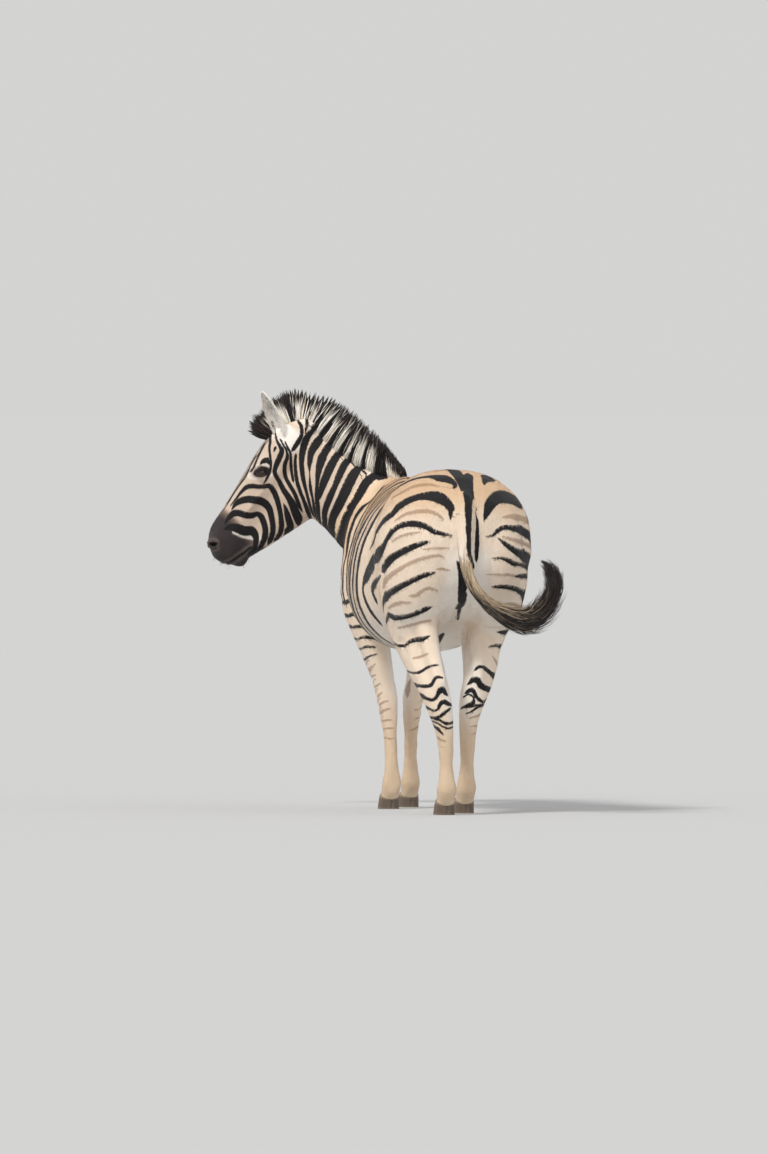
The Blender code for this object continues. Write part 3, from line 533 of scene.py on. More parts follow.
def swell(mesh, rise):
    """Moves the skin outwards along its normals, by the rise at each point."""
    move_corners(mesh, corners_of(mesh) + normals_of(mesh) * rise[:, None])


def carved_skin():
    """The skin with its relief, in the body's frame, and masks of its openings."""
    mesh = base_skin()
    places = corners_of(mesh)
    normals = normals_of(mesh)
    head = smoothstep(head_places(places)[:, 0], -0.05, 0.02) * in_fine_region(places)
    face_rise, nostril, groove = shape_face(places, normals)
    swell(mesh, face_rise + shape_body(places, normals) * (1 - head))
    # the coat is thinner on the face and feet
    thin = np.maximum(head, smoothstep(places[:, 2], 0.16, 0.08))
    swell(mesh, -(COAT_DEPTH + (FACE_COAT_DEPTH - COAT_DEPTH) * thin))
    places = corners_of(mesh)
    eyes = np.zeros(len(places))
    for side in (1, -1):
        places, inside = shape_lids(places, side)
        eyes = np.maximum(eyes, inside)
    move_corners(mesh, places)
    return mesh, {"nostril": nostril, "mouth": groove, "eye": eyes}


# ---- bands, as strokes -----------------------------------------------------------------------
# Each stroke is a tone and its rows of (across, height, half width) on the rear elevation. The
# tables give them in millimetres.

BLACK = "black"
BROWN = "brown"  # a faint shadow between two bands


def metres(*rows):
    """Rows of millimetres as rows of metres."""
    return [tuple(value / 1000 for value in row) for row in rows]


def strokes(*drawn):
    """Strokes as (tone, rows in metres), from a tone and rows in millimetres each."""
    return [(tone, metres(*rows)) for tone, *rows in drawn]


RUMP_LEFT = strokes(
    (BLACK, (-25, 1225, 2), (-40, 1250, 8), (-80, 1270, 14), (-125, 1275, 8), (-170, 1270, 6)),
    (BROWN, (-100, 1240, 3), (-140, 1245, 5), (-195, 1235, 5), (-270, 1195, 3)),
    (BLACK, (-35, 1110, 2), (-40, 1135, 8), (-50, 1157, 15), (-75, 1185, 19), (-110, 1201, 20),
     (-160, 1200, 13), (-205, 1187, 12), (-245, 1164, 12), (-268, 1135, 9)),
    (BROWN, (-80, 1115, 4), (-105, 1135, 7), (-150, 1145, 8), (-215, 1135, 6), (-260, 1110, 3)),
    (BLACK, (-30, 1050, 2), (-55, 1055, 5), (-85, 1060, 8), (-115, 1068, 10), (-140, 1084, 11),
     (-162, 1093, 12), (-195, 1097, 12), (-235, 1092, 10), (-270, 1068, 8), (-288, 1035, 4)),
    (BROWN, (-165, 1065, 3), (-205, 1060, 5), (-245, 1047, 5), (-272, 1030, 3)),
    (BLACK, (-130, 1032, 3), (-150, 1025, 8), (-185, 1013, 11), (-245, 985, 13), (-280, 960, 14),
     (-305, 925, 8)),
    (BROWN, (-55, 1005, 3), (-110, 1005, 5), (-155, 1000, 3)),
    (BROWN, (-75, 970, 3), (-100, 977, 5), (-150, 968, 7), (-205, 948, 7), (-260, 915, 8), (-295, 885, 7),
     (-305, 860, 4)),
    (BLACK, (-110, 914, 3), (-140, 906, 9), (-175, 893, 10), (-215, 873, 11), (-255, 852, 12),
     (-290, 828, 10), (-303, 810, 6)),
    (BROWN, (-55, 920, 3), (-80, 927, 6), (-105, 925, 3)),
    (BROWN, (-100, 845, 3), (-130, 855, 6), (-155, 846, 7), (-180, 828, 7), (-205, 825, 4)),
    (BROWN, (-200, 800, 3), (-235, 800, 6), (-260, 795, 7), (-285, 780, 5)),
    (BLACK, (-123, 783, 3), (-140, 777, 9), (-165, 766, 9), (-200, 752, 8), (-230, 745, 8), (-263, 744, 8),
     (-285, 756, 5)),
    (BROWN, (-125, 733, 4), (-160, 727, 5), (-190, 718, 5), (-250, 704, 4)),
    (BLACK, (-132, 673, 4), (-160, 662, 10), (-183, 660, 9), (-205, 652, 7), (-222, 638, 4)),
    (BROWN, (-135, 608, 3), (-165, 596, 5), (-193, 590, 3)),
)
RUMP_RIGHT = strokes(
    (BLACK, (75, 1247, 6), (80, 1261, 12), (100, 1273, 13), (135, 1270, 8), (152, 1262, 6)),
    (BLACK, (75, 1110, 3), (85, 1137, 13), (100, 1174, 22), (125, 1195, 23), (153, 1199, 18),
     (180, 1192, 15), (215, 1170, 13), (245, 1135, 10)),
    (BROWN, (147, 1122, 4), (180, 1124, 8), (215, 1118, 8), (240, 1108, 6)),
    (BLACK, (78, 1049, 2), (105, 1052, 5), (125, 1070, 8), (150, 1083, 9), (180, 1081, 10),
     (215, 1072, 12), (245, 1053, 10)),
    (BROWN, (147, 1048, 4), (190, 1036, 7), (225, 1024, 7), (250, 1013, 5)),
    (BLACK, (128, 1043, 3), (160, 1018, 9), (193, 994, 12), (228, 974, 13), (250, 955, 9)),
    (BLACK, (108, 967, 3), (140, 968, 6), (165, 960, 9), (187, 948, 10), (215, 943, 6), (240, 932, 6)),
    (BROWN, (80, 905, 2), (130, 906, 4), (165, 905, 5), (200, 899, 5)),
    (BLACK, (195, 899, 4), (225, 901, 9), (245, 896, 8)),
    (BLACK, (108, 860, 4), (140, 860, 8), (175, 857, 9), (205, 847, 10), (228, 828, 10), (238, 813, 7)),
    (BROWN, (160, 797, 4), (190, 794, 6), (225, 780, 4)),
    (BLACK, (150, 745, 4), (180, 745, 7), (210, 735, 8)),
    (BLACK, (130, 690, 4), (160, 690, 7), (190, 680, 7)),
)
DORSAL = strokes(
    (BLACK, (14, 1280, 17), (18, 1235, 16), (18, 1160, 14), (18, 1105, 12), (19, 1040, 9), (22, 985, 7),
     (34, 935, 6)),
)
UNDER_TAIL = strokes(
    (BLACK, (-20, 990, 4), (-12, 930, 11), (-4, 870, 18), (-12, 820, 11), (-23, 735, 3)),
    (BLACK, (50, 1100, 5), (49, 1030, 9), (46, 960, 6)),
)
FLANK = strokes(
    (BLACK, (-278, 1074, 3), (-305, 1010, 9), (-341, 958, 14), (-366, 905, 12), (-380, 868, 5),
     (-377, 823, 5), (-352, 767, 6), (-315, 720, 4)),
    (BLACK, (-315, 900, 3), (-336, 874, 6), (-346, 845, 6), (-332, 806, 5)),
)
HOCK_LEFT = strokes(
    (BLACK, (-101, 565, 4), (-122, 562, 4), (-141, 554, 5), (-168, 538, 5), (-193, 535, 4)),
    (BLACK, (-83, 518, 4), (-98, 520, 6), (-112, 510, 6), (-125, 489, 7), (-150, 485, 7), (-178, 488, 5)),
    (BLACK, (-66, 456, 5), (-77, 470, 10), (-90, 470, 11), (-103, 447, 7), (-116, 434, 7), (-136, 437, 6),
     (-156, 447, 5)),
    (BLACK, (-49, 415, 4), (-61, 420, 8), (-77, 426, 9), (-91, 417, 8), (-98, 399, 5), (-114, 393, 5),
     (-132, 401, 3)),
    (BLACK, (-52, 401, 4), (-63, 392, 6), (-82, 378, 7), (-100, 367, 6), (-122, 366, 4)),
    (BLACK, (-38, 352, 3), (-52, 346, 5), (-72, 346, 6), (-91, 358, 4)),
    (BLACK, (-41, 332, 2), (-59, 326, 4), (-82, 334, 4), (-98, 346, 3)),
    (BLACK, (-79, 303, 3), (-93, 318, 5), (-107, 330, 4), (-118, 340, 3)),
    (BROWN, (-72, 278, 3), (-86, 282, 4), (-100, 292, 3)),
    (BROWN, (-73, 253, 2), (-88, 260, 2)),
)
HOCK_RIGHT = strokes(
    (BLACK, (93, 633, 3), (121, 639, 6), (142, 631, 7), (156, 618, 5)),
    (BROWN, (108, 598, 2), (118, 580, 4), (133, 563, 4)),
    (BLACK, (41, 546, 4), (55, 558, 6), (71, 556, 6), (90, 543, 7), (110, 525, 7), (125, 512, 5)),
    (BLACK, (18, 496, 5), (34, 510, 10), (51, 509, 11), (62, 489, 12), (83, 477, 11), (101, 470, 10)),
    (BLACK, (8, 461, 6), (26, 472, 9), (38, 463, 8), (49, 442, 7), (71, 426, 6), (87, 429, 4)),
    (BLACK, (-2, 445, 3), (17, 454, 4), (35, 445, 5), (37, 433, 5), (34, 424, 8), (17, 413, 8),
     (-2, 406, 5)),
    (BLACK, (8, 382, 3), (28, 390, 4), (51, 406, 5), (65, 410, 3)),
    (BROWN, (21, 365, 3), (46, 372, 4), (63, 380, 3)),
    (BROWN, (21, 332, 2), (46, 336, 3), (60, 341, 2)),
    (BROWN, (26, 303, 2), (51, 309, 3)),
)
FORE_LEFT = strokes(
    (BLACK, (-413, 813, 3), (-430, 810, 6), (-445, 800, 6)),
    (BLACK, (-390, 745, 3), (-400, 752, 6), (-418, 756, 8), (-436, 750, 6)),
    (BLACK, (-372, 706, 3), (-395, 711, 6), (-418, 708, 5)),
    (BLACK, (-320, 662, 3), (-350, 668, 6), (-378, 670, 6), (-403, 662, 4)),
    (BLACK, (-335, 632, 3), (-365, 635, 5), (-392, 625, 4)),
    (BLACK, (-330, 606, 3), (-360, 596, 4), (-376, 584, 4)),
    (BROWN, (-335, 568, 3), (-364, 543, 5)),
    (BROWN, (-334, 527, 3), (-350, 521, 4)),
    (BROWN, (-316, 495, 3), (-341, 480, 5)),
    (BROWN, (-309, 461, 3), (-324, 449, 5)),
    (BROWN, (-280, 430, 2), (-302, 426, 4), (-318, 414, 4)),
    (BROWN, (-278, 401, 3), (-302, 394, 5), (-320, 381, 4)),
    (BROWN, (-269, 358, 3), (-292, 357, 4), (-315, 353, 4)),
    (BROWN, (-267, 327, 3), (-286, 326, 4), (-303, 324, 3)),
    (BROWN, (-264, 289, 2), (-282, 287, 3), (-299, 292, 3)),
)
FORE_RIGHT = strokes(
    (BROWN, (-168, 337, 2), (-187, 325, 3), (-205, 317, 2)),
    (BROWN, (-168, 368, 2), (-186, 362, 3)),
    (BROWN, (-168, 400, 2), (-184, 395, 3)),
    (BROWN, (-206, 500, 5), (-213, 475, 9), (-214, 452, 6)),
)
NECK_BANDS = strokes(
    (BLACK, (-593, 1520, 5), (-593, 1475, 5), (-598, 1437, 2)),
    (BLACK, (-634, 1355, 4), (-636, 1320, 5), (-630, 1260, 6), (-617, 1217, 6), (-605, 1188, 6),
     (-588, 1143, 8), (-577, 1113, 4)),
    (BLACK, (-527, 1503, 4), (-565, 1456, 7), (-590, 1424, 10), (-605, 1385, 11), (-612, 1330, 8),
     (-607, 1272, 7), (-594, 1217, 5), (-578, 1157, 5), (-566, 1125, 3)),
    (BLACK, (-472, 1503, 5), (-507, 1465, 5), (-528, 1439, 7), (-551, 1406, 13), (-575, 1367, 11),
     (-582, 1323, 7), (-582, 1287, 2), (-579, 1235, 5), (-570, 1188, 4), (-565, 1155, 5), (-555, 1110, 2)),
    (BLACK, (-417, 1503, 6), (-445, 1465, 5), (-480, 1420, 6), (-505, 1395, 11), (-527, 1360, 12),
     (-537, 1338, 14), (-549, 1290, 9), (-553, 1253, 6), (-556, 1208, 6), (-552, 1166, 8), (-546, 1113, 5),
     (-537, 1082, 2)),
    (BLACK, (-382, 1485, 5), (-406, 1445, 4), (-434, 1400, 5), (-460, 1371, 8), (-475, 1358, 11),
     (-500, 1318, 13), (-517, 1281, 13), (-535, 1235, 11), (-546, 1195, 6)),
    (BLACK, (-366, 1452, 6), (-398, 1381, 4), (-425, 1349, 9), (-450, 1320, 11), (-469, 1281, 11),
     (-487, 1237, 9), (-506, 1195, 11), (-524, 1145, 10), (-525, 1100, 8), (-515, 1060, 5), (-503, 1027, 1)),
    (BLACK, (-323, 1437, 6), (-348, 1371, 4), (-367, 1332, 6), (-396, 1308, 10), (-420, 1275, 15),
     (-458, 1194, 16), (-493, 1122, 14), (-500, 1080, 12), (-495, 1040, 8), (-477, 998, 4)),
    (BLACK, (-281, 1409, 9), (-298, 1351, 7), (-315, 1304, 10), (-343, 1275, 12), (-372, 1246, 13),
     (-420, 1160, 14), (-450, 1090, 17), (-463, 1050, 15), (-467, 1012, 11), (-467, 984, 4)),
)
FACE_BANDS = strokes(
    (BLACK, (-898, 1078, 6), (-877, 1084, 13), (-854, 1080, 18), (-827, 1070, 19), (-800, 1070, 18),
     (-785, 1049, 13), (-785, 1023, 10), (-792, 996, 9), (-810, 984, 5)),
    (BLACK, (-899, 1102, 4), (-886, 1120, 9), (-868, 1136, 13), (-848, 1137, 13), (-824, 1130, 13),
     (-800, 1128, 12), (-780, 1134, 10), (-765, 1125, 12), (-754, 1100, 12), (-749, 1075, 12),
     (-751, 1046, 12), (-763, 1017, 10), (-774, 999, 5)),
    (BLACK, (-874, 1152, 3), (-860, 1172, 9), (-839, 1184, 13), (-815, 1189, 14), (-792, 1187, 15),
     (-768, 1183, 16), (-748, 1172, 15), (-733, 1152, 13), (-726, 1125, 12), (-721, 1096, 11),
     (-721, 1067, 11), (-730, 1034, 10), (-737, 1020, 4)),
    (BLACK, (-880, 1164, 2), (-860, 1190, 4), (-839, 1217, 6), (-821, 1234, 9), (-800, 1239, 10),
     (-777, 1237, 9), (-754, 1237, 9), (-733, 1239, 10), (-719, 1223, 11), (-707, 1196, 11),
     (-698, 1164, 10), (-691, 1128, 10), (-688, 1093, 11), (-692, 1064, 10), (-707, 1037, 7)),
    (BLACK, (-680, 1173, 2), (-671, 1149, 9), (-663, 1120, 13), (-655, 1090, 14), (-660, 1072, 13),
     (-673, 1058, 4)),
    (BLACK, (-730, 1431, 3), (-730, 1408, 5), (-733, 1378, 5), (-730, 1349, 5), (-727, 1320, 5),
     (-732, 1290, 5), (-742, 1270, 5), (-754, 1249, 3)),
    (BLACK, (-716, 1370, 3), (-711, 1383, 6)),
    (BLACK, (-709, 1425, 4), (-704, 1408, 5), (-694, 1390, 7), (-686, 1372, 10), (-694, 1349, 11),
     (-705, 1323, 11), (-713, 1299, 9), (-710, 1281, 9), (-695, 1255, 9), (-680, 1225, 11),
     (-663, 1199, 12), (-648, 1173, 15), (-636, 1143, 17), (-624, 1114, 17), (-621, 1096, 9)),
    (BLACK, (-692, 1414, 4), (-680, 1393, 4), (-669, 1372, 5), (-665, 1349, 7), (-674, 1323, 8),
     (-676, 1296, 8), (-671, 1270, 8), (-657, 1243, 8), (-642, 1217, 8), (-630, 1190, 8), (-622, 1167, 8),
     (-610, 1143, 3)),
    (BLACK, (-674, 1405, 3), (-663, 1381, 5), (-654, 1361, 5), (-652, 1320, 6), (-649, 1290, 6),
     (-644, 1261, 5), (-640, 1250, 1)),
    (BLACK, (-767, 1322, 3), (-757, 1332, 9), (-743, 1336, 11), (-735, 1324, 5)),
    (BLACK, (-754, 1393, 4), (-766, 1370, 4), (-780, 1340, 4), (-792, 1311, 4), (-804, 1296, 3)),
    (BLACK, (-786, 1349, 3), (-801, 1322, 3), (-821, 1278, 3), (-848, 1240, 3), (-874, 1202, 3),
     (-895, 1172, 2)),
    (BLACK, (-628, 1488, 4), (-614, 1464, 7), (-612, 1433, 8), (-626, 1403, 10), (-644, 1377, 8)),
)
# Down the forehead and nose: (along, side, half width) in the head's frame, one on each side.
FOREHEAD = strokes(
    (BLACK, (70, 6, 3), (130, 12, 3), (200, 12, 3), (280, 7, 3), (400, 4, 2)),
    (BLACK, (80, 20, 3), (140, 29, 3), (200, 28, 3), (290, 17, 3), (420, 12, 2)),
    (BLACK, (100, 38, 3), (150, 45, 3), (210, 42, 3), (300, 28, 3), (430, 21, 3)),
)

STEP = 0.006  # between two points of a finished stroke
FAR = 0.04  # a band has no part in places further away
TURNED_AWAY = -0.15  # nor in skin that faces away from its own


class Band:
    """A finished stroke on the skin: its points, half widths and the skin's normals there."""

    def __init__(self, tone, points, halves, normals):
        self.tone = tone
        self.points = np.array(points)
        self.halves = np.array(halves)
        self.normals = np.array(normals)


def resampled(rows, step=STEP):
    """A stroke's rows on a smooth curve, about one step apart."""
    rows = np.array(rows, float)
    if len(rows) == 1:
        return rows
    longest = np.linalg.norm(np.diff(rows[:, :-1], axis=0), axis=1).max()
    return smooth_rows(rows, max(1, int(np.ceil(longest / step))))


def seen_from(tree, origin, way, reach):
    """Where a line of sight meets the skin; at an edge it takes the nearest skin instead."""
    place, normal, _, _ = tree.ray_cast(origin, way)
    if place is None:
        place, normal, _, _ = tree.find_nearest(origin + way * reach)
    return place, normal


MOST_STRETCH = 2.2
LEAP = 0.032  # a longer step means that the line of sight left the skin
THIN_BAND = 0.0028
LEAST_FACING = 0.05  # skin that faces the viewer less than this shows no band
FACING_FADE = 0.10


def stretch(run, normal):
    """How much wider a band is on the slanting skin than it looks on the rear elevation."""
    run = run / max(np.linalg.norm(run), 1e-9)
    over = ACROSS * -run[1] + UP * run[0]
    facing = min(-LEAST_FACING, LOOKING.dot(normal))
    lean = over.dot(normal) / facing
    return min(MOST_STRETCH, (1 + lean * lean) ** 0.5)


def rear_band(tree, tone, rows):
    points, normals, halves = [], [], []
    reach = VIEW_DISTANCE
    rows = resampled(rows)
    runs = np.gradient(rows[:, :2], axis=0) if len(rows) > 1 else np.ones((1, 2))
    for (across, height, half), run in zip(rows, runs):
        target = TAIL_ROOT + ACROSS * across + UP * height
        way = (target - WATCHING).normalized()
        place, normal = seen_from(tree, WATCHING, way, reach)
        reach = (place - WATCHING).length
        points.append(place)
        normals.append(normal)
        facing = min(1.0, max(0.0, (-way.dot(normal) - LEAST_FACING) / FACING_FADE))
        halves.append(half * stretch(run, normal) * facing)
    return Band(tone, points, halves, normals)


def laid(tree, tone, sights, halves):
    """A band where lines of sight, each (origin, way, reach), meet the skin."""
    points, normals = zip(*[seen_from(tree, *sight) for sight in sights])
    return Band(tone, points, halves, normals)


def joined(band, more, first=0):
    """A band carried on by another one, from a point of that one."""
    points = np.vstack((band.points, more.points[first:]))
    halves = np.concatenate((band.halves, more.halves[first:]))
    return Band(band.tone, points, halves, np.vstack((band.normals, more.normals[first:])))


def off_the_back(band):
    """Ends a band where the line of sight only grazes the withers and the back."""
    behind = smoothstep(band.points[:, 1], -0.50, -0.45)
    level = smoothstep(band.normals[:, 2], 0.25, 0.50)
    band.halves = band.halves * (1 - behind * level)
    return band


def head_twin(tree, band):
    """The same band on the head's other side."""
    sights = []
    for along, up, side in head_places(band.points):
        out = float(np.sign(side))
        sights.append((in_head(along, up, -0.35 * out), HEAD_SIDE * out, 0.3))
    return laid(tree, band.tone, sights, band.halves)


def forehead_band(tree, tone, rows, sign):
    rows = resampled(rows)
    sights = [(in_head(along, 0.3, side * sign), -HEAD_UP, 0.25) for along, side, _ in rows]
    return laid(tree, tone, sights, rows[:, 2])


NECK_ROWS = smooth_rows([(*crest, *under, width) for crest, under, width in NECK], 12)


def neck_frame(index):
    """Middle, way to the left side and way forward along the neck."""
    row = NECK_ROWS[index]
    crest, under = row[0:3], row[3:6]
    middles = (NECK_ROWS[:, 0:3] + NECK_ROWS[:, 3:6]) / 2
    ahead = middles[min(index + 1, len(middles) - 1)] - middles[max(index - 1, 0)]
    side = np.cross(ahead, crest - under)
    side /= np.linalg.norm(side)
    return middles[index], side, ahead / np.linalg.norm(ahead)


NECK_FRAMES = [neck_frame(index) for index in range(len(NECK_ROWS))]
NEAR_CREST = 0.036


def neck_twin(tree, band):
    """The same band on the neck's other side."""
    sights, shares = [], []
    for place in band.points:
        offsets = [abs((place - middle) @ ahead) for middle, _, ahead in NECK_FRAMES]
        middle, side, _ = NECK_FRAMES[int(np.argmin(offsets))]
        off = (place - middle) @ side
        out = np.sign(off)
        shares.append(smoothstep(abs(off), NEAR_CREST / 2, NEAR_CREST))
        sights.append((Vector(place - side * off - side * out * 0.4), Vector(side * out), 0.3))
    return laid(tree, band.tone, sights, band.halves * np.array(shares))


def side_band(tree, tone, rows, sign):
    """A band drawn on the side elevation: (place along the body, height, half width)."""
    rows = resampled(rows)
    sights = [(Vector((0.8 * sign, y, z)), Vector((-sign, 0, 0)), 0.55) for y, z, _ in rows]
    return laid(tree, tone, sights, rows[:, 2])


def onward(tree, band, rows, sign):
    """Carries a band on from its end over the flank, by rows of the side elevation."""
    _, y, z = band.points[-1]
    carried = side_band(tree, band.tone, [(y, z, band.halves[-1]), *rows], sign)
    return joined(band, carried, 1)


def wrapped(tree, band, middle_at, turn):
    """Carries a leg band on round the leg's outer side, thinning to nothing."""
    x, y, z = band.points[-1]
    middle = middle_at(z)
    start = atan2(y - middle[1], x - middle[0])
    sights, halves = [], []
    for index in range(1, WRAP_COUNT + 1):
        share = index / WRAP_COUNT
        height = z + WRAP_CLIMB * sin(pi * share * 0.5)
        angle = start + turn * share
        way = Vector((cos(angle), sin(angle), 0))
        sights.append((Vector((*middle_at(height), height)) + way * 0.3, -way, 0.25))
        halves.append(band.halves[-1] * (1 - share) ** 0.6 + 0.001)
    return joined(band, laid(tree, band.tone, sights, halves))


def segment_places(band, places):
    """For places near a band: its signed offset, its half width there and the skin's normal."""
    starts, ends = band.points[:-1], band.points[1:]
    runs = ends - starts
    lengths = np.maximum((runs**2).sum(1), 1e-12)
    from_start = places[:, None, :] - starts[None]
    share = (from_start * runs[None]).sum(2) / lengths[None]
    clamped = np.clip(share, 0, 1)
    gaps = from_start - clamped[:, :, None] * runs[None]
    apart = (gaps**2).sum(2)
    apart[:, lengths > LEAP**2] = 1.0
    nearest = apart.argmin(1)
    rows = np.arange(len(places))
    gap = gaps[rows, nearest]
    along = share[rows, nearest]
    held = clamped[rows, nearest]
    run = runs[nearest]
    length = np.sqrt(lengths[nearest])
    tangent = run / length[:, None]
    normal = band.normals[nearest]
    side = np.cross(tangent, normal)
    ahead = (gap * tangent).sum(1)
    across = np.sqrt(np.maximum((gap**2).sum(1) - ahead**2, 0))
    offset = across * np.where((gap * side).sum(1) < 0, -1, 1)
    past = np.abs(along - held) * length
    past = np.where((nearest == 0) | (nearest == len(starts) - 1), past, 0)
    half = band.halves[nearest] * (1 - held) + band.halves[nearest + 1] * held
    half = np.where(half < THIN_BAND, 2 * half - THIN_BAND, half)  # a thread of a band isn't drawn
    return offset, half - past * 0.6, normal


class Cells:
    """Places sorted into cubes, to find quickly those near a band."""

    def __init__(self, places, size=FAR):
        self.size = size
        keys = self.keys_of(np.floor(places / size).astype(int))
        self.order = np.argsort(keys, kind="stable")
        self.keys, self.starts = np.unique(keys[self.order], return_index=True)
        self.ends = np.append(self.starts[1:], len(keys))

    def keys_of(self, cubes):
        return (cubes[:, 0] + 500) * 1000000 + (cubes[:, 1] + 500) * 1000 + cubes[:, 2] + 500

    def near(self, points):
        cubes = np.unique(np.floor(points / self.size).astype(int), axis=0)
        steps = np.array(np.meshgrid(*[(-1, 0, 1)] * 3)).reshape(3, -1).T
        keys = np.unique(self.keys_of((cubes[:, None] + steps[None]).reshape(-1, 3)))
        found = np.flatnonzero(np.isin(self.keys, keys))
        if len(found) == 0:
            return np.empty(0, int)
        return np.sort(np.concatenate([self.order[self.starts[k] : self.ends[k]] for k in found]))


def lay_bands(bands, places, normals, corners=None, per_place=1):
    """The two nearest black bands and the nearest brown one, as (offset, half width) at each corner.

    Each place stands for a group of corners, which all follow the same bands, so that a thin
    band stays sharp between two corners."""
    corners = places if corners is None else corners
    count = len(places)
    score = np.full((3, count), -FAR)
    offsets = np.full((3, len(corners)), FAR)
    halves = np.zeros((3, len(corners)))
    cells = Cells(places)
    for band in bands:
        near = cells.near(band.points)
        if len(near) == 0 or len(band.points) < 2:
            continue
        offset, half, normal = segment_places(band, places[near])
        value = half - np.abs(offset)
        value[(normals[near] * normal).sum(1) < TURNED_AWAY] = -FAR
        slots = (2,) if band.tone == BROWN else (0, 1)
        better = value > score[slots[-1], near]
        near, value = near[better], value[better]
        if len(near) == 0:
            continue
        group = (near[:, None] * per_place + np.arange(per_place)[None]).ravel()
        offset, half, _ = segment_places(band, corners[group])
        if band.tone == BROWN:
            score[2, near] = value
            offsets[2, group], halves[2, group] = offset, half
            continue
        first = value > score[0, near]
        first_group = np.repeat(first, per_place)
        moved, moved_group = near[first], group[first_group]
        score[1, moved] = score[0, moved]
        offsets[1, moved_group], halves[1, moved_group] = offsets[0, moved_group], halves[0, moved_group]
        score[0, moved] = value[first]
        offsets[0, moved_group], halves[0, moved_group] = offset[first_group], half[first_group]
        second, second_group = near[~first], group[~first_group]
        score[1, second] = value[~first]
        offsets[1, second_group], halves[1, second_group] = offset[~first_group], half[~first_group]
    return offsets, halves


# ---- bands carried on where the rear elevation can't show them -------------------------------

# By its number in the list above: rows (along, height, half width) of the side elevation, over
# the flank from the band's end.
LEFT_ONWARD = {
    0: metres((355, 1215, 10), (290, 1160, 10), (230, 1115, 5)),
    2: metres((440, 1100, 15), (350, 1060, 14), (260, 1027, 11), (190, 1000, 5)),
    9: metres((365, 787, 9), (330, 760, 4)),
    13: metres((375, 740, 9), (325, 725, 7), (280, 722, 3)),
    15: metres((400, 636, 6), (350, 648, 5), (310, 664, 3)),
}
RIGHT_ONWARD = {
    0: metres((400, 1250, 10), (340, 1190, 10), (270, 1100, 13), (215, 1000, 14), (185, 900, 12),
        (172, 800, 5)),
    1: metres((430, 1080, 15), (370, 1020, 15), (312, 940, 13), (278, 860, 10), (262, 780, 4)),
    3: metres((460, 1010, 12), (400, 955, 12), (352, 885, 10), (325, 810, 4)),
    5: metres((450, 915, 12), (412, 870, 9), (392, 830, 4)),
    9: metres((440, 785, 10), (380, 758, 8), (330, 740, 4)),
    11: metres((400, 725, 7), (340, 714, 6), (290, 714, 3)),
    12: metres((330, 688, 6), (280, 695, 3)),
}
# Barrel bands: they stand upright on the ribs, and their tops lean back towards the croup.
BARREL_START, BARREL_END, BARREL_COUNT = -0.315, 0.030, 7
BARREL_MIDDLE = 0.93  # height of the middle they turn about
BARREL_ROWS = (  # angle above the level, share of the lean, share of the half width
    (-68, -0.06, 0.25),
    (-48, -0.02, 0.75),
    (-15, 0.00, 1.00),
    (12, 0.16, 1.10),
    (38, 0.45, 1.05),
    (64, 0.80, 0.90),
    (87, 1.00, 0.70),
)
BARREL_HALF = 0.0155
FIRST_SHADOW = 3  # brown bands lie between the black ones from this pair on
ELBOW = -0.22
BARREL_LEAN = (0.02, 0.20)  # at the shoulder and at the flank
# The stripes down the back and along the belly: place along and half width.
SPINE = metres((600, 8), (520, 20), (420, 24), (300, 18), (100, 12), (-100, 10), (-300, 10))
BELLY_STRIPE = metres((-360, 8), (-150, 12), (60, 14), (240, 10))
SHOULDER = (
    metres((-385, 1235, 10), (-400, 1120, 15), (-405, 1000, 16), (-395, 900, 12), (-375, 820, 6)),
    metres((-440, 1230, 8), (-460, 1100, 14), (-470, 980, 16), (-450, 880, 14), (-400, 780, 6)),
    metres((-520, 1130, 6), (-530, 1020, 13), (-535, 930, 13), (-560, 860, 6)),
    metres((-530, 930, 10), (-500, 860, 12), (-440, 800, 5)),
    metres((-575, 990, 5), (-590, 920, 12), (-610, 850, 8), (-610, 800, 3)),
)
RIGHT_SHOULDER = (  # more on the right, which the neck's turn stretches
    metres((-515, 1240, 4), (-585, 1165, 12), (-645, 1080, 13), (-690, 990, 6)),
    metres((-470, 1215, 4), (-530, 1130, 12), (-582, 1040, 13), (-625, 955, 6)),
)
CHEST = (  # the front elevation: place to the left, height, half width
    metres((2, 930, 5), (4, 870, 10), (2, 800, 7), (0, 750, 3)),
    metres((46, 920, 5), (56, 865, 11), (52, 805, 9), (36, 760, 3)),
    metres((-44, 930, 5), (-54, 870, 11), (-50, 805, 9), (-34, 762, 3)),
    metres((98, 950, 5), (110, 885, 11), (104, 830, 6)),
    metres((-96, 955, 5), (-108, 890, 11), (-102, 832, 6)),
)
FORE_RINGS = (
    0.855, 0.800, 0.750, 0.708, 0.668, 0.630, 0.594, 0.556, 0.520, 0.484, 0.448, 0.412, 0.378, 0.344,
)
RING_FRONT = radians(-95)  # where a leg's ring starts
RING_COUNT = 22
BROWN_HALF = 0.0045
WRAP_BELOW = 0.70
WRAP_COUNT = 14
WRAP_CLIMB = 0.012
FAINT_BELOW = 0.58  # the lower leg's rings are only faint
HIGH_RING = ((-0.035, 0.002, 0.008), (-0.075, -0.002, 0.003))  # steps from a high leg band's end
NECK_FULLNESS = 0.28  # so much wider, high on the neck
FULL_FROM, FULL_OVER = 1.08, 0.14  # the height where the fullness starts and the height it grows over
LEG_TURN = 2.3  # how far a leg band runs on round the outer side


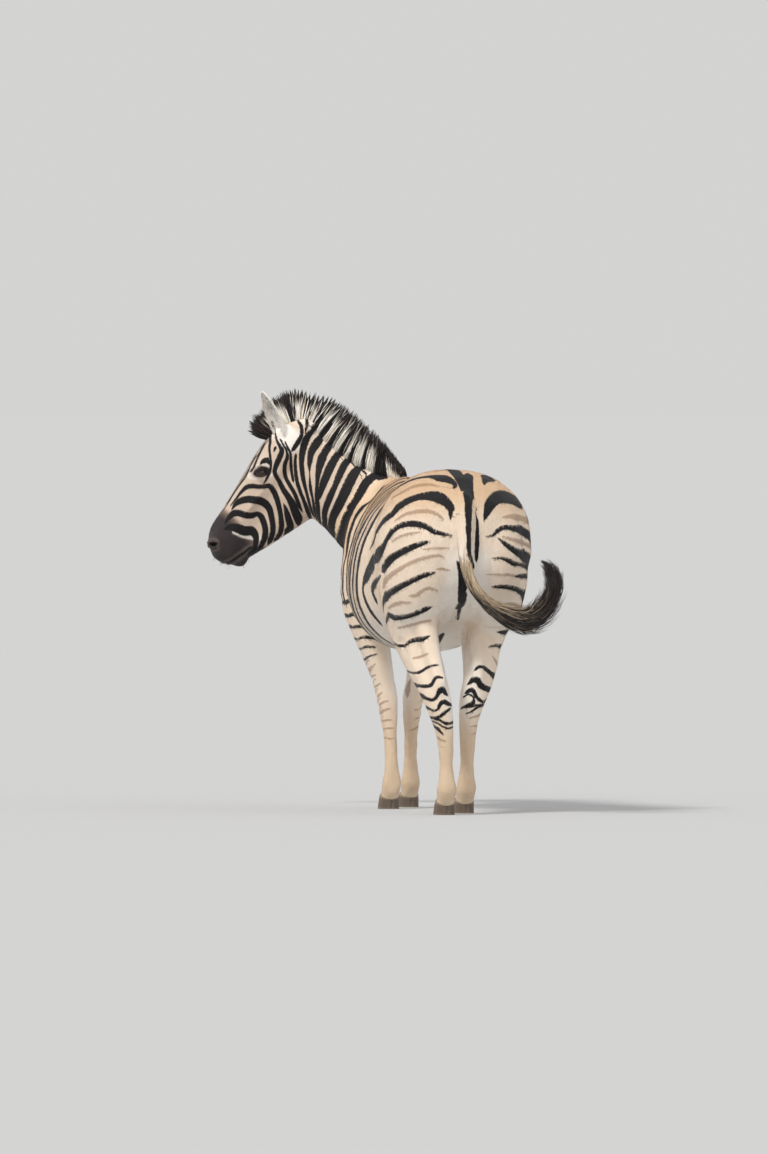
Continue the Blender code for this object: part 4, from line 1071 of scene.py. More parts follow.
def barrel_rows(index):
    share = index / (BARREL_COUNT - 1)
    foot = BARREL_START + (BARREL_END - BARREL_START) * share
    lean = BARREL_LEAN[0] + (BARREL_LEAN[1] - BARREL_LEAN[0]) * share**1.5
    half = BARREL_HALF * (1.0 + 0.25 * sin(2.1 * index))
    rows = [(foot + lean * share, radians(angle), half * part) for angle, share, part in BARREL_ROWS]
    if foot > ELBOW:
        return rows
    return [(foot, radians(-24), half * 0.2), *rows[3:]]  # the foreleg is in the way lower down


def rib_band(tree, tone, rows, sign):
    """A band round the ribs: (place along the body, angle above the level, half width)."""
    rows = smooth_rows(rows, 8)
    sights = []
    for y, angle, _ in rows:
        way = Vector((cos(angle) * sign, 0, sin(angle)))
        sights.append((Vector((0, y, BARREL_MIDDLE)) + way * 0.6, -way, 0.3))
    return laid(tree, tone, sights, rows[:, 2])


def chest_band(tree, rows):
    rows = resampled(rows)
    sights = [(Vector((x, -1.3, z)), Vector((0, 1, 0)), 0.7) for x, z, _ in rows]
    return laid(tree, BLACK, sights, rows[:, 2])


def between(first, second):
    """A faint brown band between two black ones."""
    return [((a[0] + b[0]) / 2, (a[1] + b[1]) / 2, BROWN_HALF) for a, b in zip(first, second)]


def top_band(tree, rows, level, way):
    """A black band along the body's middle line, on the back or under the belly."""
    rows = resampled(rows)
    return laid(tree, BLACK, [(Vector((0, y, level)), way, 0.4) for y, _ in rows], rows[:, 1])


def middle_finder(node):
    """A function that gives the middle of a leg at a height."""
    places = corners_of(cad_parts[node].data) - np.array(BODY)
    heights = np.arange(places[:, 2].min() + 0.02, places[:, 2].max() - 0.03, 0.02)
    middles = []
    for height in heights:
        ring = places[np.abs(places[:, 2] - height) < 0.025]
        middles.append((ring.min(0)[:2] + ring.max(0)[:2]) / 2)
    middles = np.array(middles)

    def middle_at(height):
        return np.array([np.interp(height, heights, middles[:, axis]) for axis in (0, 1)])

    return middle_at


def leg_ring(tree, tone, middle_at, height, sign, half, back):
    """A band round the outer side of a leg, from its front to its back."""
    sights, halves = [], []
    for index in range(RING_COUNT + 1):
        share = index / RING_COUNT
        angle = RING_FRONT + (back - RING_FRONT) * share
        way = Vector((cos(angle) * sign, sin(angle), 0))
        origin = Vector((*middle_at(height), height + 0.012 * sin(3 * angle))) + way * 0.35
        sights.append((origin, -way, 0.28))
        halves.append(half * sin(pi * (0.08 + 0.84 * share)) ** 0.5)
    return laid(tree, tone, sights, halves)


def rump_bands(tree, trees):
    bands = []
    for drawn, onwards, sign in ((RUMP_LEFT, LEFT_ONWARD, 1), (RUMP_RIGHT, RIGHT_ONWARD, -1)):
        for number, (tone, rows) in enumerate(drawn):
            band = rear_band(trees["hind"], tone, rows)
            if number in onwards:
                band = onward(tree, band, onwards[number], sign)
            bands.append(band)
    bands += [rear_band(tree, tone, rows) for tone, rows in UNDER_TAIL + FLANK]
    return bands + [rear_band(trees["whole"], tone, rows) for tone, rows in DORSAL]


def leg_bands(tree, trees):
    bands = []
    for drawn, node, turn in (
        (HOCK_LEFT, "hind_leg_left", -LEG_TURN),
        (HOCK_RIGHT, "hind_leg_right", LEG_TURN),
        (FORE_LEFT, "fore_leg_left", -LEG_TURN),
        (FORE_RIGHT, "fore_leg_right", LEG_TURN),
    ):
        middle_at = middle_finder(node)
        near = trees[node[:4]]
        for tone, rows in drawn:
            band = rear_band(near, tone, rows)
            if rows[-1][1] >= WRAP_BELOW:
                _, y, z = band.points[-1]
                rows = [(y + along, z + rise, half) for along, rise, half in HIGH_RING]
                band = onward(trees["fore"], band, rows, 1)
            elif tone == BLACK:
                band = wrapped(near, band, middle_at, turn)
            bands.append(band)
    for side, node, rings, back in (
        (1, "fore_leg_left", FORE_RINGS[7:], 38),
        (-1, "fore_leg_right", FORE_RINGS[2:], 70),
    ):
        middle_at = middle_finder(node)
        for height in rings:
            tone = BLACK if height > FAINT_BELOW else BROWN
            half = 0.0028 + 0.0044 * (height - 0.30) / 0.55
            bands.append(leg_ring(tree, tone, middle_at, height, side, half, radians(back)))
    return bands


def neck_and_head_bands(tree, trees):
    bands = []
    for tone, rows in NECK_BANDS:
        fuller = [1 + NECK_FULLNESS * min(1, max(0, (row[1] - FULL_FROM) / FULL_OVER)) for row in rows]
        rows = [(across, height, half * wider) for (across, height, half), wider in zip(rows, fuller)]
        band = off_the_back(rear_band(trees["fore"], tone, rows))
        bands += [band, neck_twin(trees["fore"], band)]
    for tone, rows in FACE_BANDS:
        band = rear_band(trees["fore"], tone, rows)
        bands += [band, head_twin(trees["fore"], band)]
    for tone, rows in FOREHEAD:
        bands += [forehead_band(tree, tone, rows, sign) for sign in (1, -1)]
    return bands


def trunk_bands(tree, trees):
    bands = []
    for sign in (1, -1):
        drawn = [barrel_rows(index) for index in range(BARREL_COUNT)]
        bands += [rib_band(tree, BLACK, rows, sign) for rows in drawn]
        pairs = list(zip(drawn, drawn[1:]))
        bands += [rib_band(tree, BROWN, between(*pair), sign) for pair in pairs[FIRST_SHADOW:]]
        bands += [side_band(tree, BLACK, rows, sign) for rows in SHOULDER]
    bands += [side_band(tree, BLACK, rows, -1) for rows in RIGHT_SHOULDER]
    bands += [chest_band(trees["fore"], rows) for rows in CHEST]
    return bands + [top_band(tree, SPINE, 1.6, -UP), top_band(tree, BELLY_STRIPE, 0.3, UP)]


def all_bands(tree, trees):
    """Every band of the animal as a finished stroke on the skin."""
    parts = (rump_bands, leg_bands, neck_and_head_bands, trunk_bands)
    return [band for part in parts for band in part(tree, trees)]


# ---- ground colours --------------------------------------------------------------------------

CREAM = srgb(230, 212, 192)
WARM_BACK = srgb(208, 177, 144)
PALE = srgb(236, 229, 220)
NECK_BUFF = srgb(234, 208, 176)
FACE_BUFF = srgb(208, 188, 170)
DUSTY = srgb(212, 188, 160)
MUZZLE = srgb(52, 45, 46)
MUZZLE_BROWN = srgb(96, 74, 62)
MUZZLE_GREY = srgb(124, 112, 108)
LID_DARK = srgb(32, 27, 28)
# painted reflection: the grey of light on the lower lid's wet edge
LID_REFLECTION = srgb(120, 106, 98)
EYE_SURROUND = (0.224, 0.008, 0.036, 0.0225, 0.0185)  # place, half length, reach above and below
EAR_PATCH = (0.062, -0.010)  # the white skin round the ear's root
PALE_PATCH = (
    (0.474, -0.036), (0.467, -0.074), (0.452, -0.108), (0.434, -0.124), (0.446, -0.142), (0.466, -0.150),
)
BAND_BLACK = srgb(20, 17, 20)
BAND_BROWN = srgb(140, 104, 76)
# painted shade, near black, for the nostrils' holes, the mouth's groove and the skin under the lids
HOLLOW_SHADE = srgb(30, 24, 25)
BROWN_STRENGTH = 0.62


def mixed(colours, other, share):
    share = np.asarray(share)[:, None]
    return colours * (1 - share) + np.asarray(other) * share


def crest_distance(places):
    """How far each place lies from the line of the neck's crest."""
    path = NECK_ROWS[::3, 0:3]
    far = np.full(len(places), 1.0)
    near = np.flatnonzero((places[:, 1] < -0.30) & (places[:, 2] > 1.10))
    far[near] = np.linalg.norm(places[near][:, None] - path[None], axis=2).min(1)
    return far


def body_colours(places, normals, on_head):
    x, y, z = places.T
    inner = smoothstep(np.abs(x), 0.12, 0.05) * smoothstep(y, 0.40, 0.52) * smoothstep(z, 1.05, 0.95)
    inner_leg = smoothstep(-normals[:, 0] * np.sign(x), 0.1, 0.7) * smoothstep(z, 0.72, 0.60)
    neck = smoothstep(y, -0.40, -0.52) * smoothstep(z, 0.85, 1.0) * (1 - on_head)
    crest = smoothstep(crest_distance(places), 0.120, 0.040) * smoothstep(y, -0.46, -0.60)
    crest = crest * (1 - on_head * 0.7)
    colours = np.tile(CREAM, (len(places), 1))
    for colour, share in (
        (WARM_BACK, smoothstep(z, 1.02, 1.24) * smoothstep(normals[:, 2], -0.1, 0.6)),
        (PALE, inner * 0.9),
        (PALE, smoothstep(-normals[:, 2], 0.2, 0.8) * smoothstep(z, 0.9, 0.75) * 0.8),
        (PALE, inner_leg * smoothstep(z, 0.30, 0.46) * 0.7),
        (DUSTY, smoothstep(z, 0.46, 0.24)),
        (NECK_BUFF, neck),
        (MANE_WHITE, crest * 0.85),
        (FACE_BUFF, on_head * (1 - crest)),
    ):
        colours = mixed(colours, colour, share)
    return colours


def muzzle_colours(colours, local, on_head):
    """The dark muzzle, paler grey round the nostrils and along the lips, and the pale patch behind it."""
    along, up, side = local.T
    # it starts higher on the nose than at the corner of the mouth
    edge = along - 0.026 * smoothstep(up, 0.03, -0.13)
    nostril = np.hypot(along - NOSTRIL[0], up - NOSTRIL[1])
    flat = np.column_stack((along, up))
    lips = distance_to_path(flat, MOUTH)
    grey_rims = bell(nostril, 0.023, 0.007) * 0.40 + bell(lips, 0.011, 0.006) * 0.30
    patch = smoothstep(distance_to_path(flat, PALE_PATCH), 0.0095, 0.0055) * on_head * (np.abs(side) > 0.02)
    for colour, share in (
        (MUZZLE_BROWN, smoothstep(edge, 0.412, 0.436) * on_head * 0.8),
        (MUZZLE, smoothstep(edge, 0.420, 0.462) * on_head),
        (MUZZLE_GREY, grey_rims * on_head * (along > 0.45)),
        (PALE, patch * 0.75),
    ):
        colours = mixed(colours, colour, share)
    return colours


def ear_colours(colours, places, local, on_head):
    along, up, side = local.T
    root = np.hypot(along - EAR_PATCH[0], up - EAR_PATCH[1])
    beside = smoothstep(root, 0.062, 0.034) * on_head * (np.abs(side) > 0.03)
    colours = mixed(colours, EAR_WHITE, beside * 0.8)
    ear_share, near_ear, inside = ear_parts(places)
    ear = np.tile(EAR_WHITE, (len(places), 1))
    back_spot = bell(ear_share, 0.62, 0.11) * smoothstep(-inside, 0.006, 0.012)
    ear = mixed(ear, BAND_BLACK, back_spot * 0.55)
    return colours * (1 - near_ear[:, None]) + ear * near_ear[:, None]


def eye_colours(colours, local, on_head):
    """Dark lids in a pale ring, and a painted reflection: a paler grey line along the lower lid's wet edge.
    """
    along, up, side = local.T
    beside = on_head * (np.abs(side) > 0.05)
    length, height = along_lids(along - EYE_SURROUND[0], up - EYE_SURROUND[1])
    reach = np.where(height > 0, EYE_SURROUND[3], EYE_SURROUND[4])
    eye = (np.abs(length / EYE_SURROUND[2]) ** 1.6 + np.abs(height / reach) ** 2) ** 0.55
    colours = mixed(colours, PALE, bell(eye, 1.40, 0.26) * beside * 0.75)
    colours = mixed(colours, LID_DARK, smoothstep(eye, 1.06, 0.90) * beside)
    length, height = along_lids(along - EYE_PLACE[0], up - EYE_PLACE[1])
    # painted reflection along the lower lid's wet edge
    edge = bell(lid_rim(length, height), 1.30, 0.16) * (height < -0.002) * (np.abs(length) < 0.017)
    return mixed(colours, LID_REFLECTION, edge * beside * 0.8)


def ground_colours(places, normals):
    """The coat's colour without its bands, with a painted reflection on the lower lids, at places in the
    body's frame.
    """
    local = head_places(places)
    on_head = head_share(places)
    colours = body_colours(places, normals, on_head)
    colours = muzzle_colours(colours, local, on_head)
    colours = ear_colours(colours, places, local, on_head)
    return eye_colours(colours, local, on_head)


def band_share(offsets, halves, softness, wobble=0.0):
    """How far a corner lies inside its nearest bands, from 0 to 1."""
    value = (halves - np.abs(offsets)).max(0) + wobble
    return smoothstep(value, -softness, softness)


# ---- materials -------------------------------------------------------------------------------


def set_inputs(made, **values):
    """Sets a node's inputs by their names, with _ for a blank."""
    for key, value in values.items():
        made.inputs[key.replace("_", " ")].default_value = value
    return made


def new_material(name, **finish):
    material = bpy.data.materials.new(name)
    material.use_nodes = True
    tree = material.node_tree
    return material, tree, set_inputs(tree.nodes["Principled BSDF"], **finish)


def node(tree, kind, **inputs):
    return set_inputs(tree.nodes.new(kind), **inputs)


def arithmetic(tree, operation, *values):
    """The output of a Math node that is fed by sockets or numbers."""
    made = tree.nodes.new("ShaderNodeMath")
    made.operation = operation
    for socket, value in zip(made.inputs, values):
        if isinstance(value, (int, float)):
            socket.default_value = value
        else:
            tree.links.new(value, socket)
    return made.outputs[0]


def attribute(tree, name):
    made = tree.nodes.new("ShaderNodeAttribute")
    made.attribute_name = name
    return made


MIX_FIRST, MIX_SECOND, MIX_RESULT = 6, 7, 2  # the Mix node's sockets for colours


def mix_colour(tree, share, first, second):
    """Mixes a socket's colour with a fixed one."""
    made = tree.nodes.new("ShaderNodeMix")
    made.data_type = "RGBA"
    tree.links.new(share, made.inputs["Factor"])
    tree.links.new(first, made.inputs[MIX_FIRST])
    made.inputs[MIX_SECOND].default_value = (*second, 1.0)
    return made.outputs[MIX_RESULT]


def painted_material(name, **finish):
    """A plain surface in the colours painted on the mesh."""
    material, tree, shader = new_material(name, **finish)
    tree.links.new(attribute(tree, "ground").outputs["Color"], shader.inputs["Base Color"])
    return material


def finish_surface(tree, shader, colour, shade, height, **bump):
    """Shades a surface's colour and raises it by a grain."""
    scale = tree.nodes.new("ShaderNodeVectorMath")
    scale.operation = "SCALE"
    tree.links.new(colour, scale.inputs[0])
    tree.links.new(shade, scale.inputs["Scale"])
    tree.links.new(scale.outputs[0], shader.inputs["Base Color"])
    raised = node(tree, "ShaderNodeBump", **bump)
    tree.links.new(height, raised.inputs["Height"])
    tree.links.new(raised.outputs[0], shader.inputs["Normal"])


def band_group():
    """Shares of two bands at a point: how far inside them it lies, roughened by a wobble."""
    group = bpy.data.node_groups.new("band_edge", "ShaderNodeTree")
    for name in ("Nearest", "Second"):
        group.interface.new_socket(name, in_out="INPUT", socket_type="NodeSocketVector")
    for name in ("Wobble", "Softness"):
        group.interface.new_socket(name, in_out="INPUT", socket_type="NodeSocketFloat")
    group.interface.new_socket("Share", in_out="OUTPUT", socket_type="NodeSocketFloat")
    start = group.nodes.new("NodeGroupInput")
    end = group.nodes.new("NodeGroupOutput")
    insides = []
    for name in ("Nearest", "Second"):
        parts = group.nodes.new("ShaderNodeSeparateXYZ")
        group.links.new(start.outputs[name], parts.inputs[0])
        away = arithmetic(group, "ABSOLUTE", parts.outputs[0])
        insides.append(arithmetic(group, "SUBTRACT", parts.outputs[1], away))
    inside = arithmetic(group, "MAXIMUM", *insides)
    inside = arithmetic(group, "ADD", inside, start.outputs["Wobble"])
    share = arithmetic(group, "DIVIDE", inside, start.outputs["Softness"])
    share = arithmetic(group, "MULTIPLY_ADD", share, 0.5, 0.5)
    share.node.use_clamp = True
    group.links.new(share, end.inputs["Share"])
    return group


def noise(tree, coordinates, scale, detail=2.0, roughness=0.5):
    made = node(tree, "ShaderNodeTexNoise", Scale=scale, Detail=detail, Roughness=roughness)
    tree.links.new(coordinates, made.inputs["Vector"])
    return made.outputs["Fac"]


def skin_material(group):
    material, tree, shader = new_material(
        "coat", Roughness=0.72, Specular_IOR_Level=0.25, Sheen_Weight=0.12
    )
    coordinates = tree.nodes.new("ShaderNodeTexCoord").outputs["Object"]
    fineness = attribute(tree, "fineness").outputs["Fac"]
    coarse = arithmetic(tree, "SUBTRACT", noise(tree, coordinates, 95.0), 0.5)
    fine = arithmetic(tree, "SUBTRACT", noise(tree, coordinates, 420.0), 0.5)
    wobble = arithmetic(tree, "MULTIPLY", coarse, 0.0050)
    wobble = arithmetic(tree, "ADD", wobble, arithmetic(tree, "MULTIPLY", fine, 0.0040))
    wobble = arithmetic(tree, "MULTIPLY", wobble, fineness)
    shares = []
    for nearest, second in (("band_a", "band_b"), ("band_c", "band_c")):
        edge = tree.nodes.new("ShaderNodeGroup")
        edge.node_tree = group
        tree.links.new(attribute(tree, nearest).outputs["Vector"], edge.inputs["Nearest"])
        tree.links.new(attribute(tree, second).outputs["Vector"], edge.inputs["Second"])
        tree.links.new(wobble, edge.inputs["Wobble"])
        edge.inputs["Softness"].default_value = 0.0012
        shares.append(edge.outputs["Share"])
    colour = attribute(tree, "ground").outputs["Color"]
    brown_share = arithmetic(tree, "MULTIPLY", shares[1], BROWN_STRENGTH)
    colour = mix_colour(tree, brown_share, colour, BAND_BROWN)
    colour = mix_colour(tree, shares[0], colour, BAND_BLACK)
    shade = arithmetic(tree, "MULTIPLY_ADD", noise(tree, coordinates, 700.0, 3.0, 0.6), 0.30, 0.85)
    height = noise(tree, coordinates, 520.0, 3.0, 0.6)
    finish_surface(tree, shader, colour, shade, height, Strength=0.35, Distance=0.0015)
    return material


# ---- the finished skin -----------------------------------------------------------------------


def face_data(mesh):
    count = len(mesh.polygons)
    middles = np.empty(count * 3)
    normals = np.empty(count * 3)
    mesh.polygons.foreach_get("center", middles)
    mesh.polygons.foreach_get("normal", normals)
    index = np.empty(len(mesh.loops), int)
    mesh.loops.foreach_get("vertex_index", index)
    return middles.reshape(-1, 3), normals.reshape(-1, 3), index


def paint_skin(mesh, bands, masks):
    middles, normals, index = face_data(mesh)
    places = corners_of(mesh)
    offsets, halves = lay_bands(bands, middles, normals, places[index], 3)
    for number, name in enumerate(("band_a", "band_b", "band_c")):
        values = np.column_stack((offsets[number], halves[number], np.zeros(len(index))))
        set_attribute(mesh, name, "FLOAT_VECTOR", "CORNER", values, "vector")
    colours = ground_colours(places, normals_of(mesh))
    # painted shade: the nostrils' holes, the mouth's groove and the skin under the lids are darkened
    dark = np.maximum(np.clip(masks["nostril"], 0, 1), np.clip(masks["mouth"] * 1.1 - 0.1, 0, 1))
    colours = mixed(colours, HOLLOW_SHADE, np.maximum(dark, masks["eye"]))
    paint(mesh, colours)
    along = head_places(places)[:, 0]
    fineness = 1 - 0.65 * smoothstep(along, 0.0, 0.2) * in_fine_region(places)
    set_attribute(mesh, "fineness", "FLOAT", "POINT", fineness, "value")


# ---- hair as mesh ----------------------------------------------------------------------------

SEED = 20240
TALL = (0.0, 0.30, 0.58, 0.82, 1.0)  # shares of a mane lock's length at its rings
PATCH_HALF = 0.0015  # half the width of a lock's patch in the picture
BUNCHES = 997  # lengths of bunches to choose from
DRAWN_TOGETHER = 0.72  # share of the way to its bunch's middle that a tip moves
LOCK_BOW, LOCK_BEND = 0.010, 0.004
LOCK_THICKNESS = 0.45  # as a share of its width
TIP_SPREAD = 0.003


def lock_shape(levels, corners=3):
    """One upright lock: its rings lie a unit apart and its tip is a point."""
    bm = bmesh.new()
    made = bmesh.ops.create_circle(bm, cap_ends=True, segments=corners, radius=1.0)
    edges = list({edge for vertex in made["verts"] for edge in vertex.link_edges})
    ring = made["verts"]
    for _ in range(levels - 1):
        made = bmesh.ops.extrude_edge_only(bm, edges=edges)
        ring = [item for item in made["geom"] if isinstance(item, bmesh.types.BMVert)]
        edges = [item for item in made["geom"] if isinstance(item, bmesh.types.BMEdge)]
        bmesh.ops.translate(bm, verts=ring, vec=UP)
    bmesh.ops.pointmerge(bm, verts=ring, merge_co=UP * (levels - 1))
    bmesh.ops.recalc_face_normals(bm, faces=bm.faces[:])
    bmesh.ops.triangulate(bm, faces=bm.faces[:])
    return to_mesh(bm, "lock")


class Locks:
    """Many locks of one shape joined in one mesh, each laid along its own path.

    What is given for each lock is (lock, ...), or (lock, ring, ...) if it changes along a lock."""

    def __init__(self, shape, count):
        self.local = corners_of(shape)
        self.level = np.rint(self.local[:, 2]).astype(int)
        self.count = count
        self.mesh = with_modifier(shape, "ARRAY", count=count, use_relative_offset=False)

    def at_corners(self, values):
        """Vectors of the locks or of their rings, for each corner of each lock."""
        if values.ndim == 3:
            return values[:, self.level]
        return np.repeat(values[:, None], len(self.level), 1)

    def lay(self, paths, sides, rises, widths, thicks):
        """Places the rings: their middles, the ways across and up, and half sizes (lock, ring)."""
        level = self.level
        across = self.at_corners(sides) * (self.local[:, 0] * widths[:, level])[..., None]
        above = self.at_corners(rises) * (self.local[:, 1] * thicks[:, level])[..., None]
        move_corners(self.mesh, self.at_corners(paths) + across + above + np.array(BODY))
        self.mesh.shade_smooth()

    def colour(self, colours):
        paint(self.mesh, self.at_corners(colours).reshape(-1, 3))

    def unwrap(self, middles, half=PATCH_HALF):
        """Gives every lock a patch of the picture, round the middles."""
        spots = (self.at_corners(middles) + self.local[None, :, :2] * half).reshape(-1, 2)
        index = np.empty(len(self.mesh.loops), int)
        self.mesh.loops.foreach_get("vertex_index", index)
        layer = self.mesh.uv_layers.new(name="OFBake")
        layer.data.foreach_set("uv", np.ascontiguousarray(spots[index], np.float32).ravel())


def hair_material(name, roughness=0.55, sheen=0.10):
    return painted_material(name, Roughness=roughness, Specular_IOR_Level=0.22, Sheen_Weight=sheen)


def on_rows(rows, at):
    """Rows of values read at fractional places."""
    index = np.clip(at.astype(int), 0, len(rows) - 2)
    share = (at - index)[..., None]
    return rows[index] * (1 - share) + rows[index + 1] * share


def elevation_of(places):
    """Places on the rear elevation, (across, height)."""
    rays = places - np.array(WATCHING)
    scale = (TAIL_ROOT - WATCHING).dot(LOOKING) / (rays @ np.array(LOOKING))
    met = np.array(WATCHING) + rays * scale[..., None]
    return np.stack(((met - np.array(TAIL_ROOT)) @ np.array(ACROSS), met[..., 2]), -1)


def inside_strokes(spots, drawn):
    """How far spots of the rear elevation lie inside the nearest stroke; negative is outside."""
    best = np.full(len(spots), -1.0)
    for _, rows in drawn:
        rows = resampled(rows, 0.010)
        gaps = np.linalg.norm(spots[:, None] - rows[None, :, :2], axis=2) - rows[None, :, 2]
        best = np.maximum(best, -gaps.min(1))
    return best


# ---- mane and forelock -----------------------------------------------------------------------

MANE_HEIGHTS = (0.020, 0.032, 0.078, 0.120, 0.146, 0.152, 0.138, 0.118)
MANE_HALF = 0.018
MANE_TIP_HALF = 0.010
MANE_ROOT = 0.018  # the locks start so far under the crest
POLL_MANE = (
    ((-0.012, 0.010), (-0.108, 0.088)),
    ((0.012, 0.026), (-0.052, 0.130)),
    ((0.036, 0.042), (0.004, 0.150)),
    ((0.062, 0.052), (0.052, 0.150)),
)
FORELOCK = (
    ((0.066, 0.050), (0.056, 0.152)),
    ((0.080, 0.055), (0.078, 0.156)),
    ((0.094, 0.060), (0.104, 0.148)),
    ((0.106, 0.062), (0.130, 0.130)),
)
MANE_LOCKS = 6500
FORELOCK_LOCKS = 1100
DARK_TIP = 0.034  # length of the mane's dark tips
FORELOCK_HALF = 0.022
FORELOCK_TIP_HALF = 0.015
LOCK_HALF = 0.0029
MANE_WHITE = srgb(250, 245, 236)
MANE_CREAM = srgb(222, 203, 174)
HAIR_BLACK = srgb(21, 18, 20)
HAIR_BROWN = srgb(52, 36, 30)
POLL_STROKES = strokes(
    (BLACK, (-262, 1378, 8), (-272, 1335, 8), (-290, 1300, 7)),
    (BLACK, (-245, 1350, 8), (-255, 1310, 8)),
    (BLACK, (-640, 1560, 8), (-650, 1500, 10), (-655, 1450, 8)),
)


def head_ends(pairs):
    """Foot and tip of locks that stand on the head, as rows of six."""
    ends = []
    for foot, tip in pairs:
        start, end = in_head(*foot), in_head(*tip)
        ends.append((*(start - (end - start).normalized() * MANE_ROOT), *end))
    return ends


def mane_ends():
    """Foot and tip of the mane along the crest, as rows of six."""
    rows = [(np.array(crest), np.array(under)) for crest, under, _ in NECK]
    crests = np.array([crest for crest, _ in rows])
    aheads = unit(np.gradient(crests, axis=0))
    ends = []
    for index, ((crest, under), height) in enumerate(zip(rows, MANE_HEIGHTS)):
        rise = crest - under
        rise = unit(rise - aheads[index] * (rise @ aheads[index]))
        ends.append((*(crest - rise * MANE_ROOT), *(crest + rise * height)))
    return smooth_rows(ends[1:-1] + head_ends(POLL_MANE), 12)


def grow_locks(ends, sides, count, random, half_foot, half_tip, ragged, spread, clump):
    """Locks that stand between a row of feet and a row of tips; returns them and how they lie."""
    last = len(ends) - 1
    at = random.uniform(0, last, count)
    across = random.uniform(-1, 1, count)
    row = on_rows(ends, at)
    side = unit(on_rows(sides, at))
    taper = np.minimum(1, 0.35 + at / 30)
    foot = row[:, 0:3] + side * (across * half_foot * taper)[:, None]
    # the tips draw together in clumps of uneven length
    lean = at + random.normal(0, spread, count)
    bunch = np.round(lean / clump).astype(int)
    lean = np.clip(lean + (bunch * clump - lean) * DRAWN_TOGETHER, 0, last)
    bunch = (bunch * 5 + np.round(across * 2).astype(int)) % BUNCHES
    tip_row = on_rows(ends, lean)
    beside = across * half_tip * taper + random.normal(0, TIP_SPREAD, count)
    tip = tip_row[:, 3:6] + side * beside[:, None]
    length = (random.uniform(*ragged, count) * random.uniform(0.90, 1.04, BUNCHES)[bunch])[:, None]
    tip = foot + (tip - foot) * length
    shares = np.array(TALL)[None, :, None]
    bow = side * (across * LOCK_BOW)[:, None]
    ahead = unit(on_rows(np.gradient(ends[:, 0:3], axis=0), at))
    bend = ahead * random.normal(0, LOCK_BEND, count)[:, None]
    paths = foot[:, None] * (1 - shares) + tip[:, None] * shares
    paths = paths + (bow + bend)[:, None] * np.sin(pi * shares)
    rise = unit(tip - foot)
    out = unit(np.cross(rise, side))
    turn = pi / 2 + random.normal(0, 0.35, count)[:, None]  # the flat side looks outwards
    flat = side * np.cos(turn) + out * np.sin(turn)
    thin = np.cross(rise, flat)
    widths = LOCK_HALF * random.uniform(0.7, 1.25, count)[:, None] * np.array((1.0, 1.0, 0.85, 0.55, 0.0))
    locks = Locks(lock_shape(len(TALL)), count)
    locks.lay(paths, flat, thin, widths, widths * LOCK_THICKNESS)
    along = (0.01 + 0.98 * at / last)[:, None]
    middles = np.stack(np.broadcast_arrays(along, 0.02 + 0.96 * shares[..., 0]), -1)
    locks.unwrap(middles)
    return locks, paths, at


def side_ways(ends):
    rises = ends[:, 3:6] - ends[:, 0:3]
    aheads = np.gradient(ends[:, 0:3], axis=0)
    return unit(np.cross(aheads, rises))


def add_mane():
    random = np.random.default_rng(SEED)
    ends = mane_ends()
    locks, paths, at = grow_locks(
        ends, side_ways(ends), MANE_LOCKS, random, MANE_HALF, MANE_TIP_HALF, (0.84, 1.02), 1.3, 1.2
    )
    count = len(paths)
    middle = on_rows(ends, at)
    spots = [elevation_of(middle[:, 0:3] * (1 - share) + middle[:, 3:6] * share) for share in (0.22, 0.50)]
    inside = np.mean([inside_strokes(spot, NECK_BANDS + POLL_STROKES) for spot in spots], axis=0)
    black = smoothstep(inside + random.normal(0, 0.0020, count), -0.0075, -0.0035)
    white = MANE_WHITE * random.uniform(0.94, 1.06, count)[:, None]
    cream = random.uniform(0, 1, count)[:, None] ** 7
    white = white * (1 - cream) + MANE_CREAM * cream
    body = white * (1 - black[:, None]) + HAIR_BLACK * black[:, None]
    dark = HAIR_BLACK + (HAIR_BROWN - HAIR_BLACK) * random.uniform(0, 1, count)[:, None]
    # the tips are dark over the last few centimetres, with a ragged edge
    length = np.linalg.norm(paths[:, -1] - paths[:, 0], axis=1)
    from_tip = (1 - np.array(TALL)[None]) * length[:, None]
    edge = DARK_TIP + random.normal(0, 0.008, count)[:, None]
    tipped = smoothstep(edge - from_tip, -0.004, 0.004)[..., None]
    colours = body[:, None] * (1 - tipped) + dark[:, None] * tipped
    locks.colour(colours)
    add_piece("mane", locks.mesh, hair_material("mane_hair", 0.60, 0.08), ("mane",))


def add_forelock():
    random = np.random.default_rng(SEED + 1)
    ends = smooth_rows(head_ends(FORELOCK), 12)
    sides = np.tile(ACROSS_HEAD, (len(ends), 1))
    locks, paths, _ = grow_locks(
        ends, sides, FORELOCK_LOCKS, random, FORELOCK_HALF, FORELOCK_TIP_HALF, (0.74, 1.10), 4.0, 3.6
    )
    count = len(paths)
    dark = HAIR_BLACK + (HAIR_BROWN - HAIR_BLACK) * random.uniform(0, 1, count)[:, None] ** 2
    light = (random.uniform(0, 1, count) < 0.07)[:, None, None]
    roots = np.array((1, 1, 0.5, 0, 0))[None, :, None]
    colours = dark[:, None] + (MANE_CREAM - dark[:, None]) * roots * light
    locks.colour(colours)
    add_piece("forelock", locks.mesh, hair_material("forelock_hair"), ("forelock",))


# ---- tail ------------------------------------------------------------------------------------

